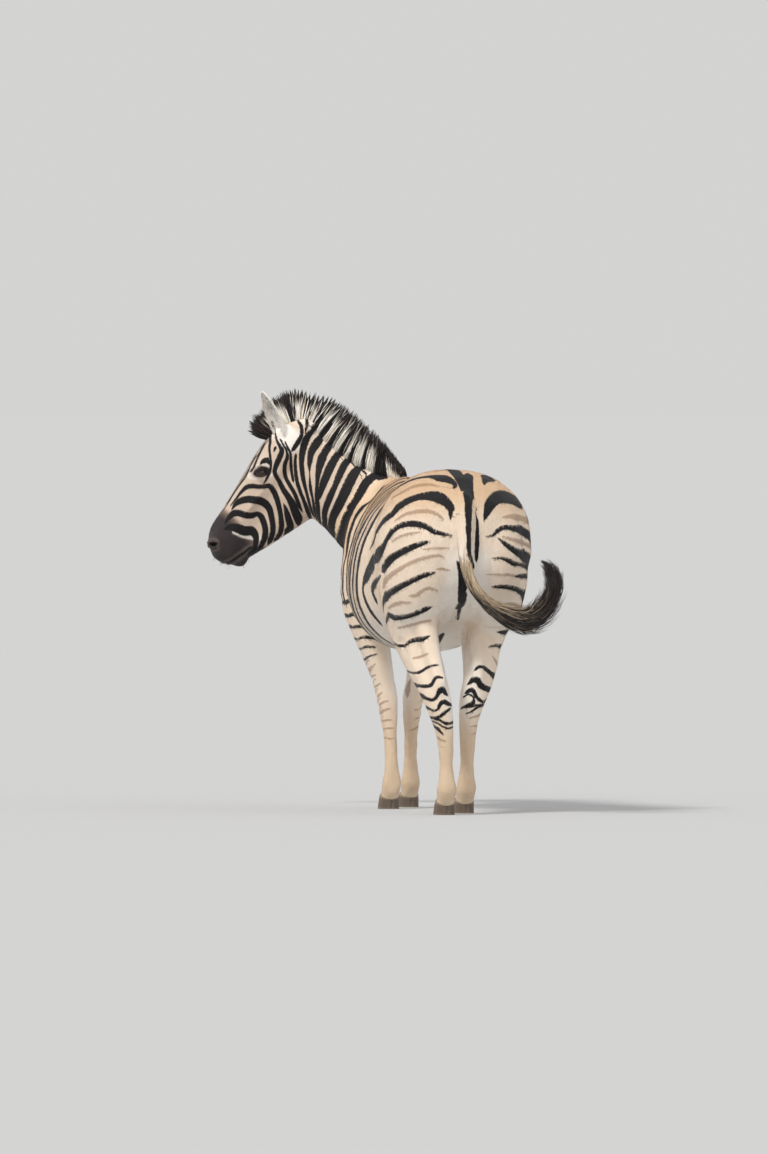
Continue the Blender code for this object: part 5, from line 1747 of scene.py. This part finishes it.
TAIL = (
    (0.000, 0.550, 1.206, 0.034),
    (0.006, 0.606, 1.180, 0.038),
    (0.014, 0.648, 1.120, 0.037),
    (0.022, 0.676, 1.030, 0.032),
    (0.019, 0.696, 0.935, 0.025),
    (-0.006, 0.710, 0.857, 0.022),
    (-0.062, 0.724, 0.793, 0.028),
    (-0.130, 0.738, 0.752, 0.038),
    (-0.200, 0.747, 0.735, 0.045),
    (-0.258, 0.750, 0.765, 0.043),
    (-0.297, 0.748, 0.822, 0.036),
    (-0.309, 0.744, 0.880, 0.028),
    (-0.292, 0.741, 0.930, 0.019),
    (-0.256, 0.738, 0.962, 0.006),
)
TAIL_ROWS = smooth_rows(TAIL, 10)
CORE_SPAN = (0.20, 0.93)  # shares of the tail's length
CORE_RINGS = 26
STRAY_STRANDS, LIGHT_STRANDS = 0.20, 0.10  # shares of the strands
STRANDS = 3600
STRAND_RINGS = 9
STRAND_HALF = 0.0017
TAIL_CREAM = srgb(226, 204, 176)
TAIL_YELLOW = srgb(192, 168, 134)


def tail_frames():
    points = TAIL_ROWS[:, 0:3]
    ways = unit(np.gradient(points, axis=0))
    side = unit(np.cross(ways, np.array((0.0, 1.0, 0.0))))
    return points, side, np.cross(side, ways)


def add_tail_core():
    """A thin core along the tail, dark towards its end."""
    points, side, up = tail_frames()
    rings = CORE_RINGS
    shares = np.linspace(*CORE_SPAN, rings)
    core_at = shares * (len(TAIL_ROWS) - 1)
    core = Locks(lock_shape(rings, 12), 1)
    radius = on_rows(TAIL_ROWS[:, 3:4], core_at)[:, 0] * np.linspace(0.86, 0.35, rings)
    centres, across, above = (on_rows(rows, core_at)[None] for rows in (points, side, up))
    core.lay(centres, across, above, radius[None], radius[None] * 0.9)
    share = smoothstep(shares, 0.34, 0.52)[:, None]
    core.colour((TAIL_CREAM * (1 - share) + HAIR_BLACK * share)[None])
    spot = np.stack((np.linspace(0.02, 0.98, rings), np.full(rings, 0.5)), -1)[None]
    core.unwrap(spot, 0.010)
    add_piece("tail_core", core.mesh, hair_material("tail_core_hair"), ("tail_middle",))


def strand_colours(random, along, angle):
    """Pale over the dock and along the tail's outer edge, black towards the end."""
    outer = np.cos(angle)  # 1 on the side that faces down and outwards at the bend
    dark = smoothstep(along + 0.10 * outer + random.normal(0, 0.10, STRANDS)[:, None], 0.34, 0.56)
    pale = TAIL_CREAM + (TAIL_YELLOW - TAIL_CREAM) * random.uniform(0, 1, STRANDS)[:, None]
    pale = pale * random.uniform(0.75, 1.05, STRANDS)[:, None]
    black = HAIR_BLACK + (HAIR_BROWN - HAIR_BLACK) * random.uniform(0, 1, STRANDS)[:, None] ** 2
    light = (random.uniform(0, 1, STRANDS) < LIGHT_STRANDS)[:, None] * smoothstep(along, 0.85, 0.6)
    dark = (dark * (1 - light * 0.8))[..., None]
    return pale[:, None] * (1 - dark) + black[:, None] * dark


def add_tail():
    """Long strands over the core, which fray outwards at the end."""
    random = np.random.default_rng(SEED + 2)
    points, side, up = tail_frames()
    last = len(TAIL_ROWS) - 1
    start = random.uniform(0.20, 0.84, STRANDS)
    length = random.uniform(0.16, 0.34, STRANDS)
    end = np.minimum(start + length, random.uniform(0.86, 1.0, STRANDS))
    shares = np.linspace(0, 1, STRAND_RINGS)[None]
    at = (start[:, None] + (end - start)[:, None] * shares) * last
    angle = random.uniform(0, 2 * pi, STRANDS)[:, None] + random.normal(0, 0.5, STRANDS)[:, None] * shares
    depth = np.sqrt(random.uniform(0.25, 1, STRANDS))[:, None]
    radius = on_rows(TAIL_ROWS[:, 3:4], at)[..., 0] * (0.80 + 0.14 * shares) * depth
    stray = (random.uniform(0, 1, STRANDS) < STRAY_STRANDS)[:, None] * np.maximum(at / last - 0.38, 0)
    slim = 1 - 0.45 * smoothstep(at / last, 0.58, 0.90)  # loose strands fill the rest of the tuft
    radius = radius * (slim + stray * 2.8 * shares**2)
    a, b = np.cos(angle) * radius, np.sin(angle) * radius
    paths = on_rows(points, at) + on_rows(side, at) * a[..., None] + on_rows(up, at) * b[..., None]
    paths += random.normal(0, 0.0016, paths.shape) * shares[..., None]
    half = STRAND_HALF * random.uniform(0.6, 1.3, STRANDS)[:, None]
    half = half * np.sin(pi * (0.16 + 0.84 * shares)) ** 0.7
    half[:, -1] = 0
    locks = Locks(lock_shape(STRAND_RINGS), STRANDS)
    locks.lay(paths, on_rows(side, at), on_rows(up, at), half, half)
    along = at / last
    locks.colour(strand_colours(random, along, angle))
    middles = np.stack((0.01 + 0.98 * along, 0.02 + 0.96 * ((angle / (2 * pi)) % 1)), -1)
    locks.unwrap(middles)
    add_piece("tail_hair", locks.mesh, hair_material("tail_hair"), ("tail_tuft",))


# ---- eyes and hooves -------------------------------------------------------------------------

IRIS = srgb(52, 30, 19)
PUPIL = srgb(8, 7, 9)
EYE_EDGE = srgb(34, 24, 20)
IRIS_REACH = 0.58  # sine of the angle from the eye's axis
PUPIL_HALF = (0.30, 0.17)
HOOF_SOLE = (0.041, 0.055)
HOOF_TOP = (0.0372, 0.0435)
HOOF_HEIGHT = 0.052
HOOF_TILT = radians(14)
HEEL_BLUNTNESS = 0.86
HOOF_RINGS = 22
HOOF_SIDES = 40
HORN = srgb(112, 96, 82)
HORN_DARK = srgb(70, 61, 55)
HORN_DUST = srgb(168, 150, 128)


def eye_material():
    return painted_material(
        "eye_surface", Roughness=0.07, Coat_Weight=0.7, Specular_IOR_Level=0.3, Coat_Roughness=0.03
    )


def add_eye(name, side, material):
    bm = bmesh.new()
    bmesh.ops.create_uvsphere(bm, u_segments=64, v_segments=40, radius=EYE_RADIUS - 0.0005)
    mesh = to_mesh(bm)
    out = unit(np.array(HEAD_SIDE * side * 0.94 + HEAD_ALONG * 0.22 + HEAD_UP * 0.10))
    level = unit(np.cross(UP_HEAD, out))
    high = np.cross(out, level)
    local = corners_of(mesh)
    forward = (local @ out) / EYE_RADIUS
    a, b = (local @ level) / EYE_RADIUS, (local @ high) / EYE_RADIUS
    reach = np.hypot(a, b) + (forward < 0)
    colours = np.tile(EYE_EDGE, (len(local), 1))
    colours = mixed(colours, IRIS, 1 - smoothstep(reach, IRIS_REACH - 0.06, IRIS_REACH))
    hole = np.hypot(a / PUPIL_HALF[0], b / PUPIL_HALF[1]) + 9 * (forward < 0)
    colours = mixed(colours, PUPIL, 1 - smoothstep(hole, 0.9, 1.1))
    paint(mesh, colours)
    move_corners(mesh, local + np.array(on_side(EYE_PLACE, side) + BODY))
    mesh.shade_smooth()
    add_piece(name + "_ball", mesh, material, (name,))


def hoof_material():
    material, tree, shader = new_material("hoof_horn", Roughness=0.62)
    coordinates = tree.nodes.new("ShaderNodeTexCoord").outputs["Object"]
    grain = noise(tree, coordinates, 260.0, 3.0, 0.6)
    shade = arithmetic(tree, "MULTIPLY_ADD", grain, 0.5, 0.75)
    colour = attribute(tree, "ground").outputs["Color"]
    finish_surface(tree, shader, colour, shade, grain, Strength=0.3, Distance=0.001)
    return material


def add_hoof(name, sole, material):
    """A hoof with growth rings round its wall, a cleft heel and a flat sole."""
    shape = lock_shape(HOOF_RINGS, HOOF_SIDES)
    local = corners_of(shape)
    level = np.rint(local[:, 2])
    inner = level == HOOF_RINGS - 1  # the middle of the top
    share = np.minimum(level / (HOOF_RINGS - 2), 1.0)
    angle = np.arctan2(local[:, 1], local[:, 0])
    rounding = 0.0016 * np.maximum(1 - share / 0.05, 0) + 0.0014 * smoothstep(share, 0.93, 1.0)
    growth = 0.00045 * np.sin(2 * pi * share * 8 + 0.8 * np.sin(angle)) * smoothstep(share, 0.05, 0.12)
    width = HOOF_SOLE[0] * (1 - share) + HOOF_TOP[0] * share - rounding - 0.0004 + growth
    length = HOOF_SOLE[1] * (1 - share) + HOOF_TOP[1] * share - rounding - 0.0004 + growth
    across, along = width * np.cos(angle), length * np.sin(angle)
    heel = along > 0
    along = np.where(heel, along * HEEL_BLUNTNESS, along)
    cleft = bell(across, 0, 0.006) * heel * 0.006 * smoothstep(1 - share, 0.0, 0.4)
    along = along - cleft
    across, along = np.where(inner, 0, across), np.where(inner, 0, along)
    behind = along + HOOF_SET_BACK * share
    top = HOOF_HEIGHT - (behind - HOOF_SET_BACK) * np.tan(HOOF_TILT)
    places = np.column_stack((sole[0] + across, sole[1] + behind, top * share)) + np.array(BODY)
    move_corners(shape, places)
    shape.shade_smooth()
    streak = 0.5 + 0.5 * np.sin(angle * 9 + 2 * np.sin(angle * 4))
    colours = mixed(np.tile(HORN, (len(local), 1)), HORN_DARK, 0.5 * streak)
    dusty = np.maximum(smoothstep(share, 0.72, 1.0), smoothstep(share, 0.16, 0.0))
    colours = mixed(colours, HORN_DUST, dusty * 0.6)
    paint(shape, colours)
    add_piece(name + "_horn", shape, material, (name,))


# ---- ears ------------------------------------------------------------------------------------

EAR_BASE = (0.064, 0.028, 0.052)
EAR_TIP = (-0.030, 0.188, 0.096)
EAR_LEVELS = (
    (0.00, 0.046, 0.046, 1.00),
    (0.14, 0.060, 0.050, 0.86),
    (0.32, 0.074, 0.046, 0.66),
    (0.52, 0.076, 0.036, 0.56),
    (0.72, 0.060, 0.024, 0.50),
    (0.88, 0.036, 0.013, 0.46),
    (0.97, 0.015, 0.006, 0.44),
)
EAR_WALL = 0.0045
EAR_THICKNESS = 0.0060  # before the coat's depth is taken off both faces
EAR_AXIS = 0.35
EAR_TURN = radians(38)
EAR_CUTS = (30, 24)  # up the ear and round it
EAR_WHITE = srgb(250, 246, 240)
# dark hair low inside the ear, its grey partly painted shade of the cup's hollow
EAR_DARK_HAIR_AND_SHADE = srgb(150, 132, 122)
EAR_LOCKS = 900
EAR_LOCK_RINGS = 5


def ear_axes(sign):
    base, tip = on_side(EAR_BASE, sign), on_side(EAR_TIP, sign)
    axis = (tip - base).normalized()
    front = HEAD_ALONG * cos(EAR_TURN) + HEAD_SIDE * sign * sin(EAR_TURN)
    front = (front - axis * front.dot(axis)).normalized()
    return np.array(base), np.array(tip), np.array(front), np.array(axis.cross(front).normalized())


def ear_wall_places(sign, share, turn):
    """Places on the middle of the ear's wall: share up the ear, turn from -1 to 1 round it."""
    base, tip, front, across = ear_axes(sign)
    rows = smooth_rows(EAR_LEVELS, 6)
    width, depth, wrap = [np.interp(share, rows[:, 0], rows[:, column]) for column in (1, 2, 3)]
    angle = turn * pi * (0.25 + 0.25 * wrap)
    way = across * np.sin(angle)[:, None] - front * np.cos(angle)[:, None]
    radial = across * (width / 2 * np.sin(angle))[:, None]
    radial = radial - front * (depth * (np.cos(angle) - EAR_AXIS))[:, None]
    places = base + (tip - base) * share[:, None] + radial
    return places - way * np.minimum(EAR_WALL / 2, width * 0.14)[:, None], way


def ear_cup(sign):
    bm = bmesh.new()
    bmesh.ops.create_grid(bm, x_segments=EAR_CUTS[0], y_segments=EAR_CUTS[1], size=1.0)
    flat = np.array([vertex.co[:] for vertex in bm.verts])
    share = (flat[:, 0] + 1) / 2 * EAR_LEVELS[-1][0]
    places, _ = ear_wall_places(sign, share, flat[:, 1])
    for vertex, place in zip(bm.verts, places):
        vertex.co = place
    sheet = to_mesh(bm, "ear")
    wall = with_modifier(sheet, "SOLIDIFY", thickness=EAR_THICKNESS, offset=0.0)
    bm = bmesh.new()
    bm.from_mesh(wall)
    bmesh.ops.recalc_face_normals(bm, faces=bm.faces[:])
    bmesh.ops.triangulate(bm, faces=bm.faces[:])
    return to_mesh(bm, "ear")


def ear_parts(places):
    """How far up an ear each place is, how near it is to one, and whether it lies inside the cup."""
    best_share = np.zeros(len(places))
    best_near = np.zeros(len(places))
    best_inside = np.zeros(len(places))
    for sign in (1, -1):
        base, tip, front, _ = ear_axes(sign)
        axis = tip - base
        share = (places - base) @ axis / (axis @ axis)
        off = places - base - np.clip(share, 0, 1)[:, None] * axis
        near = smoothstep(np.linalg.norm(off, axis=1), 0.052, 0.040) * smoothstep(share, -0.06, 0.12)
        best_inside = np.where(near > best_near, (off @ front), best_inside)
        best_share = np.where(near > best_near, share, best_share)
        best_near = np.maximum(best_near, near)
    return best_share, best_near, best_inside


def add_ear_hair():
    """Soft hair inside the ears and along their rims."""
    random = np.random.default_rng(SEED + 3)
    parts = []
    for sign in (1, -1):
        base, tip, front, _ = ear_axes(sign)
        axis = unit(tip - base)
        rim = random.uniform(0, 1, EAR_LOCKS) < 0.45
        share = random.uniform(0.06, 0.94, EAR_LOCKS)
        edge = np.sign(random.uniform(-1, 1, EAR_LOCKS)) * random.uniform(0.93, 1.0, EAR_LOCKS)
        turn = np.where(rim, edge, random.uniform(-0.9, 0.9, EAR_LOCKS))
        roots, way = ear_wall_places(sign, share, turn)
        lean = axis * 0.9 - way * 0.25 + front * 0.35
        lean = np.where(rim[:, None], axis * 0.7 + front * 0.5 - way * 0.5, lean)
        lean = unit(lean + random.normal(0, 0.16, lean.shape))
        short = random.uniform(0.006, 0.013, EAR_LOCKS)
        length = np.where(rim, short, random.uniform(0.010, 0.022, EAR_LOCKS))
        length = length * np.minimum(1, 1.5 - share)
        steps = np.linspace(0, 1, EAR_LOCK_RINGS)[None, :, None]
        paths = roots[:, None] + (lean * length[:, None])[:, None] * steps
        paths = paths + axis * 0.004 * steps**2 - way[:, None] * 0.0012 * (1 - steps)
        parts.append((paths, lean, way, share, rim))
    paths, lean, way, share, rim = [np.concatenate(items) for items in zip(*parts)]
    count = len(paths)
    side = unit(np.cross(lean, way))
    rise = np.cross(side, lean)
    half = 0.0009 * random.uniform(0.7, 1.3, count)[:, None] * np.array((1, 0.95, 0.8, 0.5, 0))
    locks = Locks(lock_shape(EAR_LOCK_RINGS), count)
    locks.lay(paths, side, rise, half, half * 0.6)
    tint = EAR_WHITE * random.uniform(0.86, 1.05, count)[:, None]
    # a few dark strands low in the cup: dark hair, and partly painted shade of the ear's hollow
    dark = (random.uniform(0, 1, count) < np.where(rim, 0.0, 0.08)) & (share < 0.6)
    tint = np.where(dark[:, None], EAR_DARK_HAIR_AND_SHADE * 0.6, tint)
    locks.colour(tint)
    spot = np.stack((0.02 + 0.96 * share, 0.02 + 0.96 * random.uniform(0, 1, count)), -1)
    locks.unwrap(spot)
    add_piece("ear_hair", locks.mesh, hair_material("ear_hair"), ("ear_left", "ear_right"))


# ---- coat ------------------------------------------------------------------------------------

TUFT_BURIED = 0.0006
# name, slot, tufts, length, half width, rise of the tip
COATS = (
    ("coat_head", "coat", 46000, 0.0066, 0.00085, 0.0008),
    ("coat_neck", "coat", 34000, 0.0105, 0.00120, 0.0014),
    ("coat_fore", "coat", 44000, 0.0120, 0.00140, 0.0015),
    ("coat_hind", "coat", 47000, 0.0120, 0.00140, 0.0015),
    ("coat_legs", "dusty_coat", 46000, 0.0078, 0.00095, 0.0010),
)
FLOWS = (  # where, how wide it reaches, and the way the coat lies there
    ((0.26, -0.40, 1.10), 0.30, (0.0, 0.75, -0.65)),
    ((0.00, 0.00, 1.25), 0.26, (0.0, 1.0, -0.10)),
    ((0.26, 0.00, 0.90), 0.26, (0.0, 0.80, -0.60)),
    ((0.00, 0.00, 0.66), 0.20, (0.0, 1.0, 0.0)),
    ((0.22, 0.30, 1.15), 0.20, (0.0, 0.85, -0.55)),
    ((0.20, 0.50, 0.90), 0.22, (0.0, 0.45, -0.90)),
    ((0.18, 0.30, 0.80), 0.16, (0.0, 0.10, -1.00)),
    ((0.00, -0.62, 0.95), 0.18, (0.0, -0.10, -1.00)),
)


def lie_of_coat(places, normals):
    """The way the hair points at each place, along the skin."""
    way = np.zeros_like(places)
    mirrored = np.abs(places[:, 0:1])
    for centre, reach, lean in FLOWS:
        offset = np.hstack((mirrored, places[:, 1:])) - np.array(centre)
        weight = np.exp(-((offset / reach) ** 2).sum(1)) + 1e-6
        way += weight[:, None] * np.array(lean)
    down = np.array((0.0, 0.12, -1.0))
    low = smoothstep(places[:, 2], 0.72, 0.58)[:, None]
    way = unit(way) * (1 - low) + down * low
    along, up, side = head_places(places).T
    on_head = head_share(places)[:, None]
    neck = (smoothstep(places[:, 1], -0.42, -0.55) * smoothstep(places[:, 2], 0.90, 1.02))[:, None]
    down_neck = np.array(NECK[2][0]) + np.array(NECK[2][1]) - np.array(NECK[7][0]) - np.array(NECK[7][1])
    way = way * (1 - neck) + unit(down_neck + np.array((0, 0, -0.25))) * neck
    face = ALONG_HEAD * smoothstep(along, -0.02, 0.12)[:, None] - UP_HEAD * 0.45
    face = face - ALONG_HEAD * (smoothstep(up, -0.05, -0.13) * 0.9)[:, None]
    way = way * (1 - on_head) + face * on_head
    _, near_ear, _ = ear_parts(places)
    for sign in (1, -1):
        base, tip, _, _ = ear_axes(sign)
        mask = (near_ear * (side * sign > 0))[:, None]
        way = way * (1 - mask) + unit(tip - base) * mask
    on_tail = (smoothstep(places[:, 1], 0.60, 0.63) * smoothstep(places[:, 2], 0.86, 0.95))[:, None]
    way = way * (1 - on_tail) + np.array((0.05, 0.25, -1.0)) * on_tail
    way = way - normals * (way * normals).sum(1)[:, None]
    return unit(way)


def head_share(places):
    along, up, side = head_places(places).T
    return smoothstep(along, -0.06, 0.04) * (np.abs(up) < 0.33) * (np.abs(side) < 0.17)


def coat_region(places):
    """Which of the coat's pieces each place belongs to, by its number in the list; -1 is bare."""
    region = np.where(places[:, 1] < 0.08, 2, 3)
    neck = (places[:, 1] < -0.36 - 0.35 * (1.25 - places[:, 2])) & (places[:, 2] > 0.80)
    region = np.where(neck, 1, region)
    region = np.where(places[:, 2] < 0.62, 4, region)
    region = np.where(head_share(places) > 0.5, 0, region)
    return np.where(places[:, 2] < 0.060, -1, region)


def random_spots(random, share, count):
    """Random triangles, each as likely as its share, and its corners' weights at a random spot."""
    chosen = random.choice(len(share), count, p=share / share.sum())
    first, second = random.uniform(0, 1, (2, count))
    folded = first + second > 1
    first, second = np.where(folded, 1 - first, first), np.where(folded, 1 - second, second)
    return chosen, np.stack((1 - first - second, first, second), 1)[:, :, None]


def grow_coat(mesh, bands, bare):
    """Short tufts over the whole skin, lying along it, in one piece for each region."""
    random = np.random.default_rng(SEED + 4)
    middles, _, index = face_data(mesh)
    triangles = corners_of(mesh)[index].reshape(-1, 3, 3)
    first, second, third = triangles.transpose(1, 0, 2)
    areas = np.linalg.norm(np.cross(second - first, third - first), axis=1)
    region = coat_region(middles)
    bare_face = bare[index].reshape(-1, 3).max(1) > 0.3
    uv = np.empty(len(index) * 2)
    mesh.uv_layers["OFBake"].data.foreach_get("uv", uv)
    uv = uv.reshape(-1, 3, 2)
    vertex_normals = normals_of(mesh)[index].reshape(-1, 3, 3)
    material = hair_material("coat_hair", 0.66, 0.12)
    shape = lock_shape(2)
    for number, (name, slot, count, length, half, rise) in enumerate(COATS):
        share = areas * (region == number) * ~bare_face
        chosen, weights = random_spots(random, share, count)
        roots = (triangles[chosen] * weights).sum(1)
        ups = unit((vertex_normals[chosen] * weights).sum(1))
        spots = (uv[chosen] * weights).sum(1)
        ways = lie_of_coat(roots, ups)
        ways = unit(ways + np.cross(ups, ways) * random.normal(0, 0.16, count)[:, None])
        sizes = random.uniform(0.65, 1.15, count)
        rises = rise * random.uniform(0.35, 1.0, count)
        tips = roots + ways * (length * sizes)[:, None] + ups * rises[:, None]
        paths = np.stack((roots - ups * TUFT_BURIED, tips), 1)
        wide = np.stack((half * random.uniform(0.8, 1.25, count), np.zeros(count)), 1)
        locks = Locks(shape, count)
        # turned over, so that each tuft shows its flat side
        locks.lay(paths, np.cross(ways, ups), ups, -wide, wide * -0.5)
        locks.mesh.shade_flat()
        locks.colour(tuft_colours(roots, ups, bands, random))
        locks.unwrap(spots)
        add_piece(name, locks.mesh, material)


def tuft_colours(roots, ups, bands, random):
    offsets, halves = lay_bands(bands, roots, ups)
    stray = random.normal(0, 0.0008, len(roots))
    colours = ground_colours(roots, ups)
    brown = band_share(offsets[2:], halves[2:], 0.0016, stray)
    colours = mixed(colours, BAND_BROWN, brown * BROWN_STRENGTH)
    colours = mixed(colours, BAND_BLACK, band_share(offsets[:2], halves[:2], 0.0010, stray))
    return colours * random.uniform(0.93, 1.06, len(roots))[:, None]


LASHES = 90
WHISKERS = 120


def lashes(random):
    """Root, lean and length of each hair on the upper lids."""
    hairs = []
    for side in (1, -1):
        centre = np.array(on_side(EYE_PLACE, side))
        way = ACROSS_HEAD * side
        for share in np.linspace(-0.85, 0.85, LASHES // 2) + random.normal(0, 0.02, LASHES // 2):
            along = OPENING[0] * share
            up = OPENING[1] * (1 - abs(share) ** 1.7) ** 0.5
            out = (EYE_RADIUS**2 - along**2 - up**2) ** 0.5 + 0.0015
            turned = (along * cos(EYE_TILT) + up * sin(EYE_TILT), -along * sin(EYE_TILT) + up * cos(EYE_TILT))
            root = centre + ALONG_HEAD * turned[0] + UP_HEAD * turned[1] + way * out
            lean = way * 0.9 - UP_HEAD * 0.35 + ALONG_HEAD * 0.5 * share
            hairs.append((root, lean, random.uniform(0.008, 0.013)))
    return hairs


def whiskers(tree, random):
    """Root, lean and length of each hair round the lips and chin."""
    hairs = []
    for _ in range(WHISKERS):
        along, up = random.uniform(0.50, 0.60), random.uniform(-0.15, -0.03)
        side = random.choice((-1.0, 1.0))
        place, normal, _, _ = tree.ray_cast(in_head(along, up, 0.2 * side), HEAD_SIDE * -side)
        if place is None:
            continue
        lean = np.array(normal) + ALONG_HEAD * 0.3 - np.array(UP) * 0.3 + random.normal(0, 0.2, 3)
        hairs.append((np.array(place), lean, random.uniform(0.010, 0.024)))
    return hairs


def add_fine_hairs(tree):
    random = np.random.default_rng(SEED + 5)
    roots, leans, lengths = [np.array(items) for items in zip(*lashes(random), *whiskers(tree, random))]
    leans = unit(leans)
    steps = np.linspace(0, 1, 4)[None, :, None]
    droop = np.array((0, 0, -0.2)) * (lengths[:, None, None] * steps**2)
    paths = roots[:, None] + leans[:, None] * lengths[:, None, None] * steps + droop
    sides = unit(np.cross(leans, np.array((0.3, 0.2, 1.0))))
    rises = np.cross(sides, leans)
    half = 0.00045 * np.array((1, 0.9, 0.6, 0))[None] * np.ones((len(roots), 1))
    locks = Locks(lock_shape(4), len(roots))
    locks.lay(paths, sides, rises, half, half)
    locks.colour(np.tile(HAIR_BLACK, (len(roots), 1)))
    spots = np.stack(random.uniform(0.02, 0.98, (2, len(roots))), -1)
    locks.unwrap(spots)
    add_piece("lashes_and_whiskers", locks.mesh, hair_material("fine_hair"))


# ---- the whole animal ------------------------------------------------------------------------


def tree_of(mesh, keep=None):
    """A search tree of the skin's faces, without those whose corners aren't kept."""
    bm = bmesh.new()
    bm.from_mesh(mesh)
    if keep is not None:
        doomed = [vertex for vertex, kept in zip(bm.verts, keep) if not kept]
        bmesh.ops.delete(bm, geom=doomed, context="VERTS")
    tree = BVHTree.FromBMesh(bm)
    bm.free()
    return tree


def unwrap_skin(mesh):
    """Flattens the skin into islands that keep its own shape."""
    holder = linked("holder", mesh)
    mesh.uv_layers.new(name="OFBake")
    bpy.context.view_layer.objects.active = holder
    bpy.ops.object.mode_set(mode="EDIT")
    bpy.ops.mesh.select_all(action="SELECT")
    bpy.ops.uv.smart_project(angle_limit=radians(66), island_margin=0.001)
    bpy.ops.object.mode_set(mode="OBJECT")
    bpy.data.objects.remove(holder, do_unlink=True)


HIND_FROM, FORE_UP_TO = 0.16, -0.18  # places along the body
TAIL_REACH = 0.046  # skin so near the tail's middle belongs to it


def add_animal():
    mesh, masks = carved_skin()
    places = corners_of(mesh)
    path = on_rows(TAIL_ROWS, np.linspace(3, 40, 60))[:, 0:3]
    on_tail = np.linalg.norm(places[:, None] - path[None], axis=2).min(1) < TAIL_REACH
    _, near_ear, _ = ear_parts(places)
    plain = ~on_tail & (near_ear < 0.5)
    whole = tree_of(mesh, near_ear < 0.5)
    behind, ahead = places[:, 1] > HIND_FROM, places[:, 1] < FORE_UP_TO
    trees = {"whole": whole, "hind": tree_of(mesh, plain & behind), "fore": tree_of(mesh, plain & ahead)}
    bands = all_bands(tree_of(mesh, plain), trees)
    paint_skin(mesh, bands, masks)
    unwrap_skin(mesh)
    bare = np.maximum(masks["nostril"], np.maximum(masks["mouth"] * 0.8, masks["eye"]))
    grow_coat(mesh, bands, bare)
    add_fine_hairs(whole)
    mesh.transform(Matrix.Translation(BODY))
    mesh.shade_smooth()
    add_piece("skin", mesh, skin_material(band_group()), FLESH)
    add_mane()
    add_forelock()
    add_tail_core()
    add_tail()
    add_ear_hair()
    gloss = eye_material()
    for name, side in (("eye_left", 1), ("eye_right", -1)):
        add_eye(name, side, gloss)
    horn = hoof_material()
    for (leg, side), sole in SOLES.items():
        add_hoof(f"hoof_{leg}_{side}", sole, horn)


add_animal()


# ---- floor, camera and light -----------------------------------------------------------------

FLOOR_HALF = 900.0
LENS = 497.0
SENSOR = 36.0
PAN = radians(0.288)  # the aim lies so far to the left of the tail's root
DIP = radians(0.672)
FAR_CLIP = 3000.0
FLOOR_COLOUR = (0.541, 0.545, 0.550, 1)
ROOM_COLOUR = (0.965, 0.962, 0.955, 1)
ROOM_STRENGTH = 0.68
SUNS = (  # name, how far across, forward and down it shines, strength, softness in degrees, colour
    ("key", (0.55, 0.62, 0.95), 2.0, 12, (1.0, 0.975, 0.94)),
    ("catch_light", (0.37, 0.73, 0.56), 0.15, 5, (1.0, 0.99, 0.97)),
    ("fill", (-0.8, 0.5, 0.35), 0.5, 60, (0.92, 0.96, 1.0)),
)


def add_camera():
    data = bpy.data.cameras.new("camera")
    data.lens = LENS
    data.sensor_width = SENSOR
    data.clip_end = FAR_CLIP
    data.dof.use_dof = False
    camera = linked("camera", data)
    camera.location = WATCHING + BODY
    level = LOOKING * cos(PAN) - ACROSS * sin(PAN)
    aim = level * cos(DIP) - UP * sin(DIP)
    camera.rotation_mode = "QUATERNION"
    camera.rotation_quaternion = aim.to_track_quat("-Z", "Y")
    bpy.context.scene.camera = camera


def add_sun(name, aim, strength, softness, colour):
    across, forward, down = aim
    data = bpy.data.lights.new(name, "SUN")
    data.energy = strength
    data.angle = radians(softness)
    data.color = colour
    light = linked(name, data)
    light.rotation_mode = "QUATERNION"
    towards = ACROSS * across + LOOKING * forward - UP * down
    light.rotation_quaternion = towards.to_track_quat("-Z", "Y")


def add_floor():
    bm = bmesh.new()
    bmesh.ops.create_grid(bm, x_segments=1, y_segments=1, size=FLOOR_HALF)
    mesh = to_mesh(bm, "floor")
    material, _, _ = new_material(
        "floor", Base_Color=FLOOR_COLOUR, Roughness=0.95, Specular_IOR_Level=0.1
    )
    mesh.materials.append(material)
    linked("floor", mesh)


def light_room():
    world = bpy.data.worlds.new("room")
    bpy.context.scene.world = world
    world.use_nodes = True
    background = world.node_tree.nodes["Background"]
    set_inputs(background, Color=ROOM_COLOUR, Strength=ROOM_STRENGTH)
    for sun in SUNS:
        add_sun(*sun)


add_floor()
light_room()
add_camera()
bpy.context.scene.view_settings.view_transform = "Standard"
